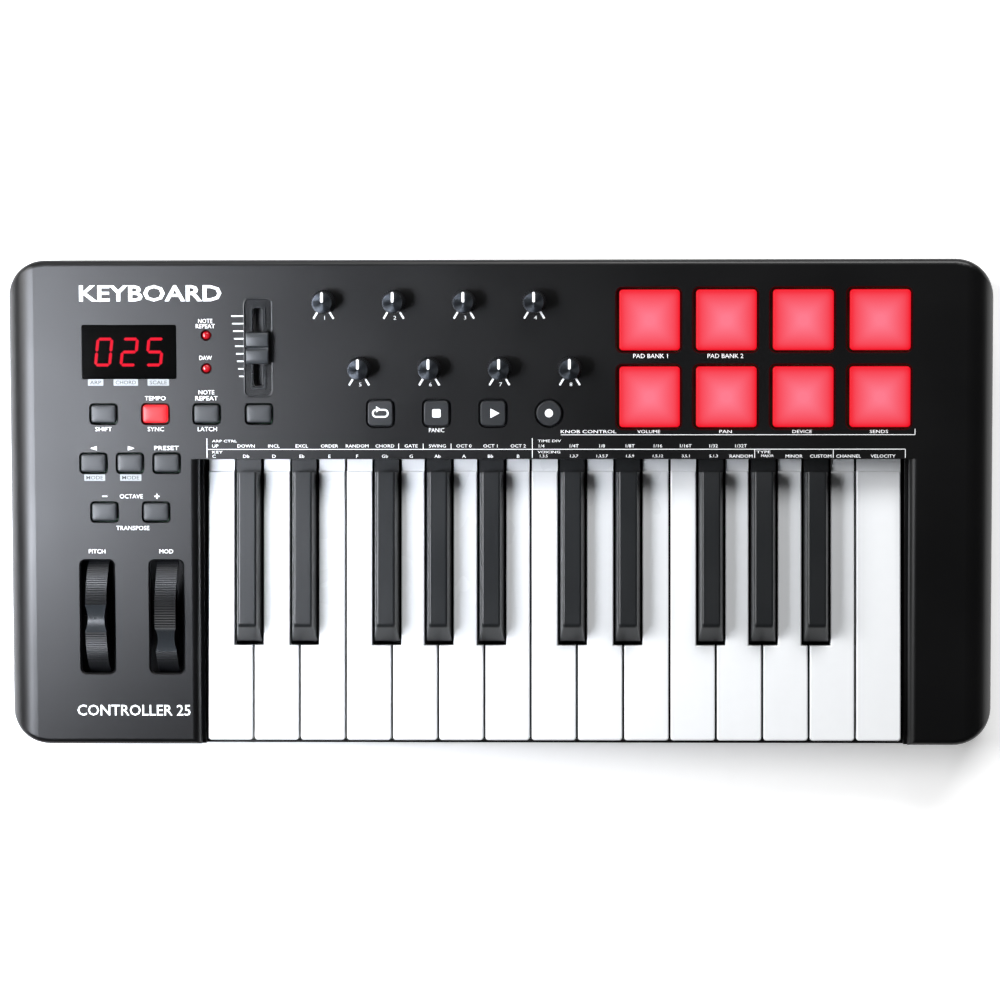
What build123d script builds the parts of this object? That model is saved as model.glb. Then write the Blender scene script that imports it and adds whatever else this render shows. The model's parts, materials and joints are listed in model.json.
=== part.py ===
from build123d import *
import os
from math import atan, degrees

# A compact 25-key midi keyboard with a sloping top panel.
# Millimetres. X to the player's right, Y to the rear, Z up. Origin on the table, under the middle.

# ---- driving dimensions: case ----
WIDTH = 498.0
DEPTH = 245.0
REAR_HEIGHT = 58.0          # table to the panel at its rear edge
FRONT_HEIGHT = 36.4
CORNER_R = 20.0
SIDE_R = 14.0               # soft left and right edges of the panel
CORNER_EASE = 0.02          # keeps the corners' rounding from ending on the side edges' rounding
EDGE_R = 3.0                # front and rear edges of the panel
WALL = 2.5
BASE_Z = 3.0                # underside of the case, above the table on its feet
FLOOR_Z = BASE_Z + WALL
SPLIT_Z = 18.0              # where the two halves of the case meet
SLOPE = degrees(atan((REAR_HEIGHT - FRONT_HEIGHT) / DEPTH))
PANEL = Pos(0, DEPTH / 2, REAR_HEIGHT) * Rot(SLOPE, 0, 0)   # x right, y up the slope, z out

# ---- key bay ----
WHITE_PITCH = 23.5
WHITE_WIDTH = 22.4
WHITE_KEYS = 15
OCTAVE = 7 * WHITE_PITCH
KEYS_LEFT = -148.95
BAY_LEFT = -152.0
BAY_RIGHT = 206.4
BAY_REAR = 22.2
BAY_EDGE_R = 4.0
LEDGE = 1.7                 # narrow step along both ends of the bay
LEDGE_DROP = 2.6
LIP = 2.0
LIP_BOTTOM_Z = 37.0
FRONT_RAIL = 1.6

# ---- keys ----
KEY_TOP_Z = 33.0
KEY_FRONT = -120.5
KEY_SHOULDER = 16.3         # rear end of the raised top
SKIRT_Z = 19.0
NECK_SKIRT_Z = 22.0
KEY_PLATE = 2.4
KEY_WALL = 1.6
NOTCH_FRONT = -72.3
NOTCH_WIDTH = 14.8
TAIL_WIDTH = 10.0
HEEL_REAR = 25.0            # the keys keep their full width until they are under the panel's lip
TAIL_BOTTOM_Z = 24.0
WHITE_TAIL_Z = 31.8
BLACK_TAIL_Z = 34.5
BLACK_TOP_Z = 45.0
BLACK_BASE = 12.6
BLACK_TOP_WIDTH = 9.3
BLACK_FOOT = -70.1
BLACK_NOSE = -62.3
BLACK_REAR = 15.5
PIVOT_Y = 48.0
PIVOT_Z = 26.0
PIVOT_R = 2.0
HUB_R = 5.0
PIVOT_GAP = 0.1
WHITE_NOTES = (0, 2, 4, 5, 7, 9, 11)
NOTE_NAMES = ("c", "c_sharp", "d", "d_sharp", "e", "f", "f_sharp", "g", "g_sharp", "a", "a_sharp", "b")
# each black key's centre from the line between its two white keys
BLACK_OFFSET = {1: -2.3, 3: 2.4, 6: -2.6, 8: 0.45, 10: 3.7}

# ---- key frame and contacts ----
BASE_PLATE = 2.0
BASE_PLATE_Z = FLOOR_Z + BASE_PLATE
RIB = 1.6
PLUNGER_Y = -5.0
PLUNGER_Z = 21.0
CONTACT_BOARD_Z = 11.0
BOARD = 1.6
CONTACT_FRONT = -20.0
CONTACT_REAR = 10.0
DOME_TOP_Z = 17.7

# ---- controls: places on the panel (right, up the slope) ----
BOARD_W = -10.0             # top of the control board, below the panel
PANEL_BACK = -WALL
KNOB_PITCH = 35.4
KNOB_ROWS = ((-88.2, -21.4), (-70.4, -55.0))   # first knob of each row
KNOB_R = 6.0
KNOB_TOP_R = 5.1
KNOB_TOP = 12.3
SHAFT_R = 2.98
BUTTONS = {
    "button_shift": (-199.8, -77.9),
    "button_tempo": (-173.6, -77.9),
    "button_note_repeat": (-147.6, -77.9),
    "button_fader_mode": (-121.1, -77.9),
    "button_left": (-205.2, -102.8),
    "button_right": (-186.7, -102.8),
    "button_preset": (-168.1, -102.8),
    "button_octave_down": (-199.9, -127.6),
    "button_octave_up": (-173.7, -127.6),
}
BUTTON_SIZE = (12.5, 9.0)
BUTTON_HOLE = (14.0, 10.4)
TRANSPORT = {
    "button_loop": (-59.7, -77.6),
    "button_stop": (-31.4, -77.6),
    "button_play": (-2.9, -77.6),
    "button_record": (25.3, -77.6),
}
TRANSPORT_SIZE = 12.6
TRANSPORT_HOLE = 13.8
CAP_HEIGHT = 1.5
TRAVEL_GAP = 0.1            # button flange to panel
FLANGE = 0.8
STEM_END = -5.2
SWITCH_HEIGHT = 3.5
ACTUATOR_TOP = -6.1
PAD_COLUMNS = (75.5, 114.1, 152.6, 191.1)
PAD_ROWS = (-30.7, -69.4)
PAD_SIZE = 31.0
PAD_HOLE = 32.4
PAD_HEIGHT = 1.8
PAD_SHEET = 1.2
WINDOW_CENTRE = (-186.6, -46.5)
WINDOW_SIZE = (47.8, 27.3)
WINDOW_THICK = 1.2
LAMPS = ((-147.6, -38.2), (-147.6, -54.9))
LAMP_R = 2.0
LAMP_HOLE_R = 2.6
FADER = (-121.3, -44.2)
FADER_RECESS = (14.6, 49.6)
FADER_RECESS_DEPTH = 0.9
FADER_SLOT = (4.8, 39.3)
FADER_CAP = (11.6, 16.0)
FADER_CAP_TOP = 7.0
FADER_BODY = (9.0, 52.0, 6.5)

# ---- wheels ----
WHEEL_PLACES = {"pitch_wheel": (-204.0, -181.0), "mod_wheel": (-168.8, -181.0)}
WHEEL_SLOT = (16.8, 57.4)
WHEEL_R = 31.0
WHEEL_WIDTH = 10.6
HUB_DEPTH = 22.0
AXLE_R = 2.0
SECTOR = 176.0              # degrees of rim
MOD_REST = 21.5             # the mod wheel rests turned towards the player
NOTCH_R = 17.7
NOTCH_CENTRE = 46.2

# ---- screws, feet, rear ----
CASE_SCREWS = ((-238, 88), (238, 88), (-238, -105), (238, -105), (-100, 114.5), (100, 114.5))
BOSS_R = 3.5
SCREW_R = 1.45
HEAD_R = 2.75
HEAD = 2.0
SEAT_Z = 10.0
CHASSIS_SCREWS = ((-141, -40), (-23, -40), (94, -40), (197, -40))
BOARD_SCREWS = ((-218, -25), (-218, -90), (-187, -115.2), (-134.5, -92), (-104, -34), (-104, -90),
                (-52.8, -38.5), (-17, -90), (50.5, -38.5), (213.5, -20), (213.5, -80))
FEET = ((-215, 95), (215, 95), (-215, -98), (215, -98))
FOOT_R = 8.0
JACK_BOARD_Z = 26.0
JACK_POSTS = ((-229, 93), (-148, 93), (-229, 113), (-148, 113))
USB_X = -190.0
USB_SIZE = (12.0, 16.5, 11.0)
PEDAL_X = -163.0
PEDAL_BORE_R = 3.2
SOCKET_Z = JACK_BOARD_Z + BOARD
SWITCH_X = -214.0
SWITCH_Z = 35.0
SWITCH_SIZE = (20.0, 13.0)
LOCK_X = 200.0


def block(x0, x1, y0, y1, z0, z1):
    """A box between the given limits."""
    middle = Pos((x0 + x1) / 2, (y0 + y1) / 2, (z0 + z1) / 2)
    return middle * Box(x1 - x0, y1 - y0, z1 - z0)


def post(x, y, z0, z1, radius):
    """An upright round post."""
    return Pos(x, y, z0) * extrude(Circle(radius), z1 - z0)


def slab(place, size, radius, w0, w1):
    """A rounded rectangular block, lying on the panel's slope."""
    outline = RectangleRounded(size[0], size[1], radius)
    return Pos(place[0], place[1], w0) * extrude(outline, w1 - w0)


def well(place, outline, bevel, depth=WALL + 2):
    """Cutter for a hole in the panel, with a bevelled mouth."""
    hole = extrude(outline, -depth)
    mouth = Pos(0, 0, -bevel) * extrude(outline, bevel + 0.1, taper=-45)
    return Pos(place[0], place[1], 0) * (hole + mouth)


def knob_places():
    return [(u + i * KNOB_PITCH, v) for u, v in KNOB_ROWS for i in range(4)]


# ---------------------------------------------------------------- case

def hull(inset, low):
    """The outer form of the upper case above the height low, shrunk by inset."""
    plan = RectangleRounded(WIDTH - 2 * inset + 2 * CORNER_EASE, DEPTH - 2 * inset, CORNER_R - inset)
    section = Plane.XZ * (Pos(0, -inset - 50) * Rectangle(WIDTH - 2 * inset, 100))
    bar = Pos(0, 20, 0) * extrude(section, DEPTH + 60)
    shoulders = bar.edges().filter_by(Axis.Y).sort_by(Axis.Z)[-2:]
    bar = fillet(shoulders, SIDE_R - inset)
    return (Pos(0, 0, low) * extrude(plan, REAR_HEIGHT)) & (PANEL * bar)


def rim_edges(form):
    """The edges of the panel at its front, rear and corners."""
    lines = PANEL.inverse() * form
    picked = []
    for local, edge in zip(lines.edges(), form.edges()):
        high = local.center().Z > -12 and edge.center().Z > SPLIT_Z + 5
        lengthwise = local.geom_type == GeomType.LINE and abs(local.tangent_at(0).Y) > 0.9
        if high and not lengthwise:
            picked.append(edge)
    return picked


def bay_cutter():
    """The space over the keys: rounded along its upper side edges, stepped below them."""
    centre = (BAY_LEFT + BAY_RIGHT) / 2
    half = (BAY_RIGHT - BAY_LEFT) / 2
    section = Pos(0, -BAY_EDGE_R) * Rectangle(2 * half, 2 * BAY_EDGE_R + 2)
    section += Pos(0, -40) * Rectangle(2 * (half - LEDGE), 90)
    for side in (-1, 1):
        corner = Pos(side * (half + BAY_EDGE_R / 2), -BAY_EDGE_R / 2 + 1) * Rectangle(BAY_EDGE_R, BAY_EDGE_R + 2)
        corner -= Pos(side * (half + BAY_EDGE_R), -BAY_EDGE_R) * Circle(BAY_EDGE_R)
        section += corner
    bar = PANEL * (Pos(centre, 0, 0) * extrude(Plane.XZ * section, DEPTH + 60))
    return bar & block(-WIDTH, WIDTH, -DEPTH, BAY_REAR, -50, 100)


def panel_cutters():
    """Every opening in the panel, in the panel's own frame."""
    cuts = []
    for place in knob_places():
        cuts.append(well(place, Circle(3.6), 0.3))
    for place in BUTTONS.values():
        cuts.append(well(place, RectangleRounded(*BUTTON_HOLE, 2.0), 0.35))
    for name, place in TRANSPORT.items():
        square = RectangleRounded(TRANSPORT_HOLE, TRANSPORT_HOLE, 3.0)
        outline = Circle(TRANSPORT_HOLE / 2) if name == "button_record" else square
        cuts.append(well(place, outline, 0.5))
    for u in PAD_COLUMNS:
        for v in PAD_ROWS:
            cuts.append(well((u, v), RectangleRounded(PAD_HOLE, PAD_HOLE, 3.0), 0.6))
    for place in LAMPS:
        cuts.append(well(place, Circle(LAMP_HOLE_R), 0.2))
    for place in WHEEL_PLACES.values():
        cuts.append(well(place, RectangleRounded(*WHEEL_SLOT, 2.5), 0.8))
    width, height = WINDOW_SIZE
    cuts.append(slab(WINDOW_CENTRE, (width + 0.3, height + 0.3), 1.0, -WINDOW_THICK - 0.1, 1))
    cuts.append(slab(WINDOW_CENTRE, (width - 4, height - 4), 1.0, -5, 1))
    cuts.append(slab(FADER, FADER_RECESS, 3.0, -FADER_RECESS_DEPTH, 1))
    cuts.append(slab(FADER, FADER_SLOT, 1.2, -5, 1))
    return cuts


def rear_openings():
    """Holes in the rear wall for the sockets, the switch and a lock."""
    width, _, height = USB_SIZE
    reach = (DEPTH / 2 - WALL - 1, DEPTH / 2 + 1)
    usb = block(USB_X - width / 2 - 0.5, USB_X + width / 2 + 0.5, *reach, SOCKET_Z - 0.5, SOCKET_Z + height + 0.5)
    pedal = Pos(PEDAL_X, reach[0], SOCKET_Z + 7) * Rot(-90, 0, 0) * extrude(Circle(5.8), 4.5)
    half_x, half_z = SWITCH_SIZE[0] / 2 + 0.2, SWITCH_SIZE[1] / 2 + 0.2
    switch = block(SWITCH_X - half_x, SWITCH_X + half_x, *reach, SWITCH_Z - half_z, SWITCH_Z + half_z)
    lock = block(LOCK_X - 3.5, LOCK_X + 3.5, *reach, SWITCH_Z - 1.5, SWITCH_Z + 1.5)
    return [usb, pedal, switch, lock]


def top_case():
    outer = hull(0, SPLIT_Z)
    outer = fillet(rim_edges(outer), EDGE_R)
    case = outer - hull(WALL, SPLIT_Z - 1)
    end_walls = block(BAY_LEFT - WALL, BAY_RIGHT + WALL, -DEPTH, BAY_REAR + LIP, SPLIT_Z, 80)
    under_lip = block(BAY_LEFT + LEDGE, BAY_RIGHT - LEDGE, BAY_REAR - 1, BAY_REAR + LIP + 1, 0, LIP_BOTTOM_Z)
    case += (end_walls & outer) - under_lip
    within = hull(1.0, SPLIT_Z)
    for x, y in CASE_SCREWS:
        case += post(x, y, SPLIT_Z, 80, BOSS_R) & within
    for u, v in BOARD_SCREWS:
        case += PANEL * post(u, v, BOARD_W, -1, 2.6)
    case -= bay_cutter()
    for x, y in CASE_SCREWS:
        case -= post(x, y, SPLIT_Z - 1, SPLIT_Z + 13, SCREW_R + 0.05)
    for u, v in BOARD_SCREWS:
        case -= PANEL * post(u, v, BOARD_W - 1, BOARD_W + 6, 1.1)
    case -= [PANEL * cut for cut in panel_cutters()]
    return case - rear_openings()


def wheel_ears(place):
    """Two upright ears that the wheel's axle snaps into from above."""
    hub = (PANEL * Pos(place[0], place[1], -HUB_DEPTH)).position
    ears = None
    for side in (-1, 1):
        x0 = hub.X + side * (WHEEL_WIDTH / 2 + 0.8)
        x1 = x0 + side * 3.0
        ear = block(min(x0, x1), max(x0, x1), hub.Y - 6, hub.Y + 6, FLOOR_Z - 1, hub.Z + 5)
        ears = ear if ears is None else ears + ear
    bore = Pos(hub.X, hub.Y, hub.Z) * Rot(0, 90, 0) * extrude(Circle(AXLE_R + 0.3), 20, both=True)
    throat = block(hub.X - 20, hub.X + 20, hub.Y - 1.8, hub.Y + 1.8, hub.Z, hub.Z + 10)
    return ears - bore - throat


def bottom_case():
    tray = Pos(0, 0, BASE_Z) * extrude(RectangleRounded(WIDTH, DEPTH, CORNER_R), SPLIT_Z - BASE_Z)
    tray = fillet(tray.faces().sort_by(Axis.Z)[0].edges(), 4.0)
    inner = RectangleRounded(WIDTH - 2 * WALL, DEPTH - 2 * WALL, CORNER_R - WALL)
    tray -= Pos(0, 0, FLOOR_Z) * extrude(inner, SPLIT_Z)
    # the rail in front of the keys is thinner than the rest of the wall
    tray -= block(BAY_LEFT, BAY_RIGHT, -DEPTH / 2 + FRONT_RAIL, 0, FLOOR_Z, SPLIT_Z + 1)
    tongue = RectangleRounded(WIDTH - 2 * WALL - 0.4, DEPTH - 2 * WALL - 0.4, CORNER_R - WALL)
    tongue -= RectangleRounded(WIDTH - 2 * WALL - 2.8, DEPTH - 2 * WALL - 2.8, CORNER_R - WALL - 1)
    ring = Pos(0, 0, FLOOR_Z - 0.5) * extrude(tongue, SPLIT_Z + 2 - FLOOR_Z)
    ring += Pos(0, 0, FLOOR_Z - 0.5) * extrude(inner, 0.5)
    tray += ring - block(BAY_LEFT - 5, BAY_RIGHT + 5, -DEPTH, 0, FLOOR_Z, 40)
    for x, y in CASE_SCREWS:
        tray += post(x, y, FLOOR_Z - 1, SPLIT_Z, BOSS_R + 0.9)
    for x, y in JACK_POSTS:
        tray += post(x, y, FLOOR_Z - 1, JACK_BOARD_Z, 3.0)
    for place in WHEEL_PLACES.values():
        tray += wheel_ears(place)
    for x, y in CASE_SCREWS:
        tray -= post(x, y, 0, SEAT_Z, HEAD_R + 0.3)
        tray -= post(x, y, 0, SPLIT_Z + 1, SCREW_R + 0.3)
    for x, y in CHASSIS_SCREWS:
        tray -= post(x, y, 0, FLOOR_Z + 1, SCREW_R + 0.3)
    for x, y in JACK_POSTS:
        tray -= post(x, y, JACK_BOARD_Z - 8, JACK_BOARD_Z + 1, 1.1)
    for x, y in FEET:
        tray -= post(x, y, 0, BASE_Z + 0.8, FOOT_R + 0.1)
    return tray


def rubber_feet():
    foot = post(0, 0, 0, BASE_Z + 0.8, FOOT_R)
    foot = fillet(foot.faces().sort_by(Axis.Z)[0].edges(), 0.8)
    return [Pos(x, y, 0) * foot for x, y in FEET]


def screw(length, radius=SCREW_R, head_radius=HEAD_R):
    """A pan head screw pointing up, its seat at the origin."""
    body = post(0, 0, -HEAD, 0, head_radius)
    body = fillet(body.faces().sort_by(Axis.Z)[0].edges(), 0.7)
    body += post(0, 0, 0, length, radius)
    slots = Rectangle(2.6, 0.7) + Rectangle(0.7, 2.6)
    return body - Pos(0, 0, -HEAD) * extrude(slots, 1.1)


def case_screws():
    long = screw(SPLIT_Z - SEAT_Z + 12)
    short = screw(11)
    small = screw(7, 1.05, 2.2)
    screws = [Pos(x, y, SEAT_Z) * long for x, y in CASE_SCREWS]
    screws += [Pos(x, y, BASE_Z) * short for x, y in CHASSIS_SCREWS]
    screws += [PANEL * Pos(u, v, BOARD_W - BOARD) * small for u, v in BOARD_SCREWS]
    screws += [Pos(x, y, SOCKET_Z) * Rot(180, 0, 0) * small for x, y in JACK_POSTS]
    return screws


# ---------------------------------------------------------------- keys

def black_centre(number):
    octave, note = divmod(number, 12)
    whites_before = sum(1 for n in WHITE_NOTES if n < note)
    return KEYS_LEFT + octave * OCTAVE + whites_before * WHITE_PITCH + BLACK_OFFSET[note]


def white_span(number):
    """Left side, right side, and the neck's two sides between the black keys."""
    octave, note = divmod(number, 12)
    line = KEYS_LEFT + octave * OCTAVE + WHITE_NOTES.index(note) * WHITE_PITCH
    gap = (WHITE_PITCH - WHITE_WIDTH) / 2
    left, right = line + gap, line + WHITE_PITCH - gap
    neck_left, neck_right = left, right
    if number > 0 and (note - 1) % 12 in BLACK_OFFSET:
        neck_left = black_centre(number - 1) + NOTCH_WIDTH / 2
    if number < 24 and (note + 1) % 12 in BLACK_OFFSET:
        neck_right = black_centre(number + 1) - NOTCH_WIDTH / 2
    return left, right, neck_left, neck_right


def tail_centre(number):
    if number % 12 in BLACK_OFFSET:
        return black_centre(number)
    _, _, neck_left, neck_right = white_span(number)
    return (neck_left + neck_right) / 2


def tail(number, top, width):
    """The rear of a key, with a hub that clips over the pivot bar from above."""
    x = tail_centre(number)
    half = width / 2
    body = block(x - half, x + half, KEY_SHOULDER - 4, PIVOT_Y + 2, TAIL_BOTTOM_Z, top)
    across = Pos(x, PIVOT_Y, PIVOT_Z) * Rot(0, 90, 0)
    body += across * extrude(Circle(HUB_R), half, both=True)
    body -= block(x - half + KEY_WALL, x + half - KEY_WALL, 0, 41, 0, top - KEY_PLATE)
    body -= across * extrude(Circle(PIVOT_R + PIVOT_GAP), width, both=True)
    return body - block(x - half - 1, x + half + 1, PIVOT_Y - 1.7, PIVOT_Y + 1.7, 0, PIVOT_Z)


def plunger(number, top):
    """The peg that presses the key's two contacts."""
    x = tail_centre(number)
    return block(x - 3, x + 3, PLUNGER_Y - 2, PLUNGER_Y + 2, PLUNGER_Z, top)


def white_key(number):
    left, right, neck_left, neck_right = white_span(number)
    shell = block(left, right, KEY_FRONT, NOTCH_FRONT, SKIRT_Z, KEY_TOP_Z)
    shell += block(neck_left, neck_right, NOTCH_FRONT - 1, KEY_SHOULDER, SKIRT_Z, KEY_TOP_Z)
    uprights = shell.edges().filter_by(Axis.Z).sort_by(Axis.Y)[:2]
    shell = fillet(uprights, 1.5)
    shell = fillet(shell.faces().sort_by(Axis.Z)[-1].edges(), 0.8)
    under = KEY_TOP_Z - KEY_PLATE
    shell -= block(left + KEY_WALL, right - KEY_WALL, KEY_FRONT + KEY_WALL, NOTCH_FRONT - KEY_WALL, 0, under)
    shell -= block(neck_left + KEY_WALL, neck_right - KEY_WALL, NOTCH_FRONT - 5, KEY_SHOULDER - KEY_WALL, 0, under)
    shell -= block(left - 1, right + 1, NOTCH_FRONT, 100, 0, NECK_SKIRT_Z)
    heel = block(neck_left + 0.1, neck_right - 0.1, KEY_SHOULDER - KEY_WALL / 2, HEEL_REAR, TAIL_BOTTOM_Z, WHITE_TAIL_Z)
    return shell + heel + tail(number, WHITE_TAIL_Z, TAIL_WIDTH) + plunger(number, under + 0.5)


def black_form(inset, low):
    """The black key's cap, shrunk by inset."""
    drop = BLACK_TOP_Z - inset
    half_low = BLACK_BASE / 2 - inset
    half_top = BLACK_TOP_WIDTH / 2 - inset
    side = Polyline((BLACK_FOOT + inset, low), (BLACK_FOOT + inset, KEY_TOP_Z - inset / 2),
                    (BLACK_NOSE + inset, drop), (BLACK_REAR - inset, drop), (BLACK_REAR - inset, low), close=True)
    end = Polyline((-half_low, low), (-half_low, KEY_TOP_Z), (-half_top, drop),
                   (half_top, drop), (half_low, KEY_TOP_Z), (half_low, low), close=True)
    lengthwise = extrude(Plane.XZ * make_face(end), 100, both=True)
    return extrude(Plane.YZ * make_face(side), BLACK_BASE, both=True) & lengthwise


def black_key(number):
    cap = black_form(0, NECK_SKIRT_Z - 1)
    nose = cap.faces().sort_by(Axis.Z)[-1].edges().sort_by(Axis.Y)[0]
    cap = fillet(nose, 3.0)
    top_edges = cap.faces().sort_by(Axis.Z)[-1].edges().filter_by(Axis.Y)
    cap = fillet(top_edges, 1.2)
    cap -= black_form(KEY_WALL, 0)
    x = black_centre(number)
    half = BLACK_BASE / 2 - 0.1
    heel = block(x - half, x + half, BLACK_REAR - KEY_WALL / 2, HEEL_REAR, TAIL_BOTTOM_Z, BLACK_TAIL_Z)
    key = Pos(x, 0, 0) * cap + heel
    return key + tail(number, BLACK_TAIL_Z, TAIL_WIDTH - 0.5) + plunger(number, BLACK_TOP_Z - KEY_WALL + 0.5)


def key_name(number):
    return f"key_{number + 1:02d}_{NOTE_NAMES[number % 12]}"


def rib_places():
    """Ribs stand at both ends of the key frame and between neighbouring tails."""
    centres = [tail_centre(n) for n in range(25)]
    between = [(a + b) / 2 for a, b in zip(centres, centres[1:])]
    return [centres[0] - 6.8] + between + [centres[-1] + 7.4]


def key_chassis():
    left, right = KEYS_LEFT - 0.5, KEYS_LEFT + WHITE_KEYS * WHITE_PITCH + 0.5
    frame = block(left, right, -105, 58, FLOOR_Z, BASE_PLATE_Z)
    for x in rib_places():
        frame += block(x - RIB / 2, x + RIB / 2, PIVOT_Y - 8, PIVOT_Y + 8, FLOOR_Z + 1, PIVOT_Z + 3)
        frame += block(x - RIB / 2, x + RIB / 2, CONTACT_FRONT + 4, CONTACT_REAR - 4, FLOOR_Z + 1, CONTACT_BOARD_Z)
    ends = rib_places()
    bar = Pos(ends[0], PIVOT_Y, PIVOT_Z) * Rot(0, 90, 0) * extrude(Circle(PIVOT_R), ends[-1] - ends[0])
    frame += bar
    # stand for the springs' lower ends
    frame += block(ends[0], ends[-1], 16, 19, FLOOR_Z + 1, 15)
    for number in range(25):
        x = tail_centre(number)
        if number % 12 in BLACK_OFFSET:
            half = BLACK_BASE / 2 - KEY_WALL - 0.5
            frame += block(x - half, x + half, -56, -52, FLOOR_Z + 1, 30)
        else:
            left_side, right_side, _, _ = white_span(number)
            frame += block(left_side + 2.1, right_side - 2.1, -97, -93, FLOOR_Z + 1, 21.3)
    for x, y in CHASSIS_SCREWS:
        frame += post(x, y, FLOOR_Z, 14.5, 3.2)
        frame -= post(x, y, 0, 15, SCREW_R + 0.05)
    return frame


def key_springs():
    """One bowed leaf spring a key, from the stand on the frame up to the key's tail."""
    low, middle, high = (17.2, 15.02), (29.9, 17.3), (42.4, 23.5)
    strip = [ThreePointArc(low, middle, high)]
    low, middle, high = [(y, z + 0.4) for y, z in (low, middle, high)]
    strip += [ThreePointArc(low, middle, high)]
    strip += [Line(strip[0] @ 0, strip[1] @ 0), Line(strip[0] @ 1, strip[1] @ 1)]
    leaf = extrude(Plane.YZ * make_face(strip), 1.6, both=True)
    return [Pos(tail_centre(n), 0, 0) * leaf for n in range(25)]


def key_contact_board():
    left, right = rib_places()[0] - 1, rib_places()[-1] + 1
    top = CONTACT_BOARD_Z + BOARD
    board = block(left, right, CONTACT_FRONT, CONTACT_REAR, CONTACT_BOARD_Z, top)
    strip = block(left + 2, right - 2, PLUNGER_Y - 7, PLUNGER_Y + 7, top, top + 1)
    dome = Pos(0, 0, top + 0.5) * extrude(Circle(4.2), DOME_TOP_Z - top - 0.5, taper=12)
    for number in range(25):
        strip += Pos(tail_centre(number), PLUNGER_Y, 0) * dome
    return [board, strip]


# ---------------------------------------------------------------- controls

def knob():
    """One knob cap and the metal shaft it is pressed on, standing on the panel."""
    profile = Polyline((0, 0.5), (KNOB_R, 0.5), (KNOB_R, 1.6), (KNOB_R - 0.35, 2.2), (KNOB_TOP_R, KNOB_TOP - 0.5),
                       (KNOB_TOP_R - 0.5, KNOB_TOP), (0, KNOB_TOP), close=True)
    cap = revolve(Plane.XZ * make_face(profile), Axis.Z)
    flute = Pos(KNOB_R + 0.05, 0, 2.6) * Rot(0, -3.3, 0) * extrude(Circle(0.32), KNOB_TOP)
    cap -= PolarLocations(0, 28) * flute
    cap -= extrude(Circle(SHAFT_R + 0.02), KNOB_TOP - 2)
    shaft = post(0, 0, BOARD_W + 1, KNOB_TOP - 2.2, SHAFT_R)
    return [cap, shaft]


def button(outline, flange_outline):
    """A button cap with its flange below the panel and its stem above the switch."""
    cap = Pos(0, 0, PANEL_BACK - 0.5) * extrude(outline, CAP_HEIGHT - PANEL_BACK + 0.5)
    cap = fillet(cap.faces().sort_by(Axis.Z)[-1].edges(), 0.5)
    flange_top = PANEL_BACK - TRAVEL_GAP
    cap += Pos(0, 0, flange_top - FLANGE) * extrude(flange_outline, FLANGE)
    return cap + post(0, 0, STEM_END, flange_top - FLANGE + 0.2, 2.0)


def rectangular_button():
    width, height = BUTTON_SIZE
    return button(RectangleRounded(width, height, 1.5), RectangleRounded(width + 3, height + 3, 2.0))


def transport_button(name):
    if name == "button_record":
        return button(Circle(TRANSPORT_SIZE / 2), Circle(TRANSPORT_SIZE / 2 + 1.8))
    square = RectangleRounded(TRANSPORT_SIZE, TRANSPORT_SIZE, 2.5)
    return button(square, RectangleRounded(TRANSPORT_SIZE + 3, TRANSPORT_SIZE + 3, 3.0))


def fader_cap():
    """Cap with a cross groove for the finger, on a flat metal stem."""
    width, length = FADER_CAP
    cap = slab((0, 0), (width, length), 1.0, 0.1, FADER_CAP_TOP)
    cap = fillet(cap.faces().sort_by(Axis.Z)[-1].edges(), 0.8)
    for side in (-1, 1):
        scoop = Pos(0, side * 4.4, FADER_CAP_TOP + 2.3) * Rot(0, 90, 0) * extrude(Circle(4.0), width, both=True)
        cap -= scoop
    cap -= block(-1.1, 1.1, -2.6, 2.6, -1, FADER_CAP_TOP - 3)
    stem = block(-1.0, 1.0, -2.5, 2.5, BOARD_W + 3.4, FADER_CAP_TOP - 3)
    return [Pos(*FADER, 0) * cap, Pos(*FADER, 0) * stem]


def pad_sheet():
    left, right = PAD_COLUMNS[0] - 18, PAD_COLUMNS[-1] + 17.5
    top = PANEL_BACK - TRAVEL_GAP
    sheet = block(left, right, PAD_ROWS[1] - 18, PAD_ROWS[0] + 17, top - PAD_SHEET, top)
    pad = slab((0, 0), (PAD_SIZE, PAD_SIZE), 2.5, top - 0.5, PAD_HEIGHT)
    pad = fillet(pad.faces().sort_by(Axis.Z)[-1].edges(), 0.8)
    pad += slab((0, 0), (26, 26), 2.0, BOARD_W, top - 0.5)
    for u in PAD_COLUMNS:
        for v in PAD_ROWS:
            sheet += Pos(u, v, 0) * pad
    return sheet


def display_window():
    return slab(WINDOW_CENTRE, WINDOW_SIZE, 0.9, -WINDOW_THICK - 0.1, -0.1)


def potentiometer():
    body = block(-4.75, 4.75, -5.5, 5.5, BOARD_W, BOARD_W + 6.8)
    return body - post(0, 0, BOARD_W + 0.8, 0, SHAFT_R + 0.22)


def tact_switch():
    body = block(-3, 3, -3, 3, BOARD_W, BOARD_W + SWITCH_HEIGHT)
    return body + post(0, 0, BOARD_W + 1, ACTUATOR_TOP, 1.75)


def lamp():
    body = post(0, 0, BOARD_W, 0.4, LAMP_R)
    return fillet(body.faces().sort_by(Axis.Z)[-1].edges(), 1.2) + post(0, 0, BOARD_W, BOARD_W + 1, 2.5)


def fader_body():
    width, length, height = FADER_BODY
    body = block(-width / 2, width / 2, -length / 2, length / 2, BOARD_W, BOARD_W + height)
    return body - block(-1.5, 1.5, -19.5, 19.5, BOARD_W + 2.6, 0)


def main_board():
    rear, front = -14.0, -97.0
    board = block(-222, 218, front, rear, BOARD_W - BOARD, BOARD_W)
    board += block(-222, -158.5, -137, front + 1, BOARD_W - BOARD, BOARD_W)
    for u, v in BOARD_SCREWS:
        board -= post(u, v, BOARD_W - 5, BOARD_W + 5, 1.4)
    return board


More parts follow.
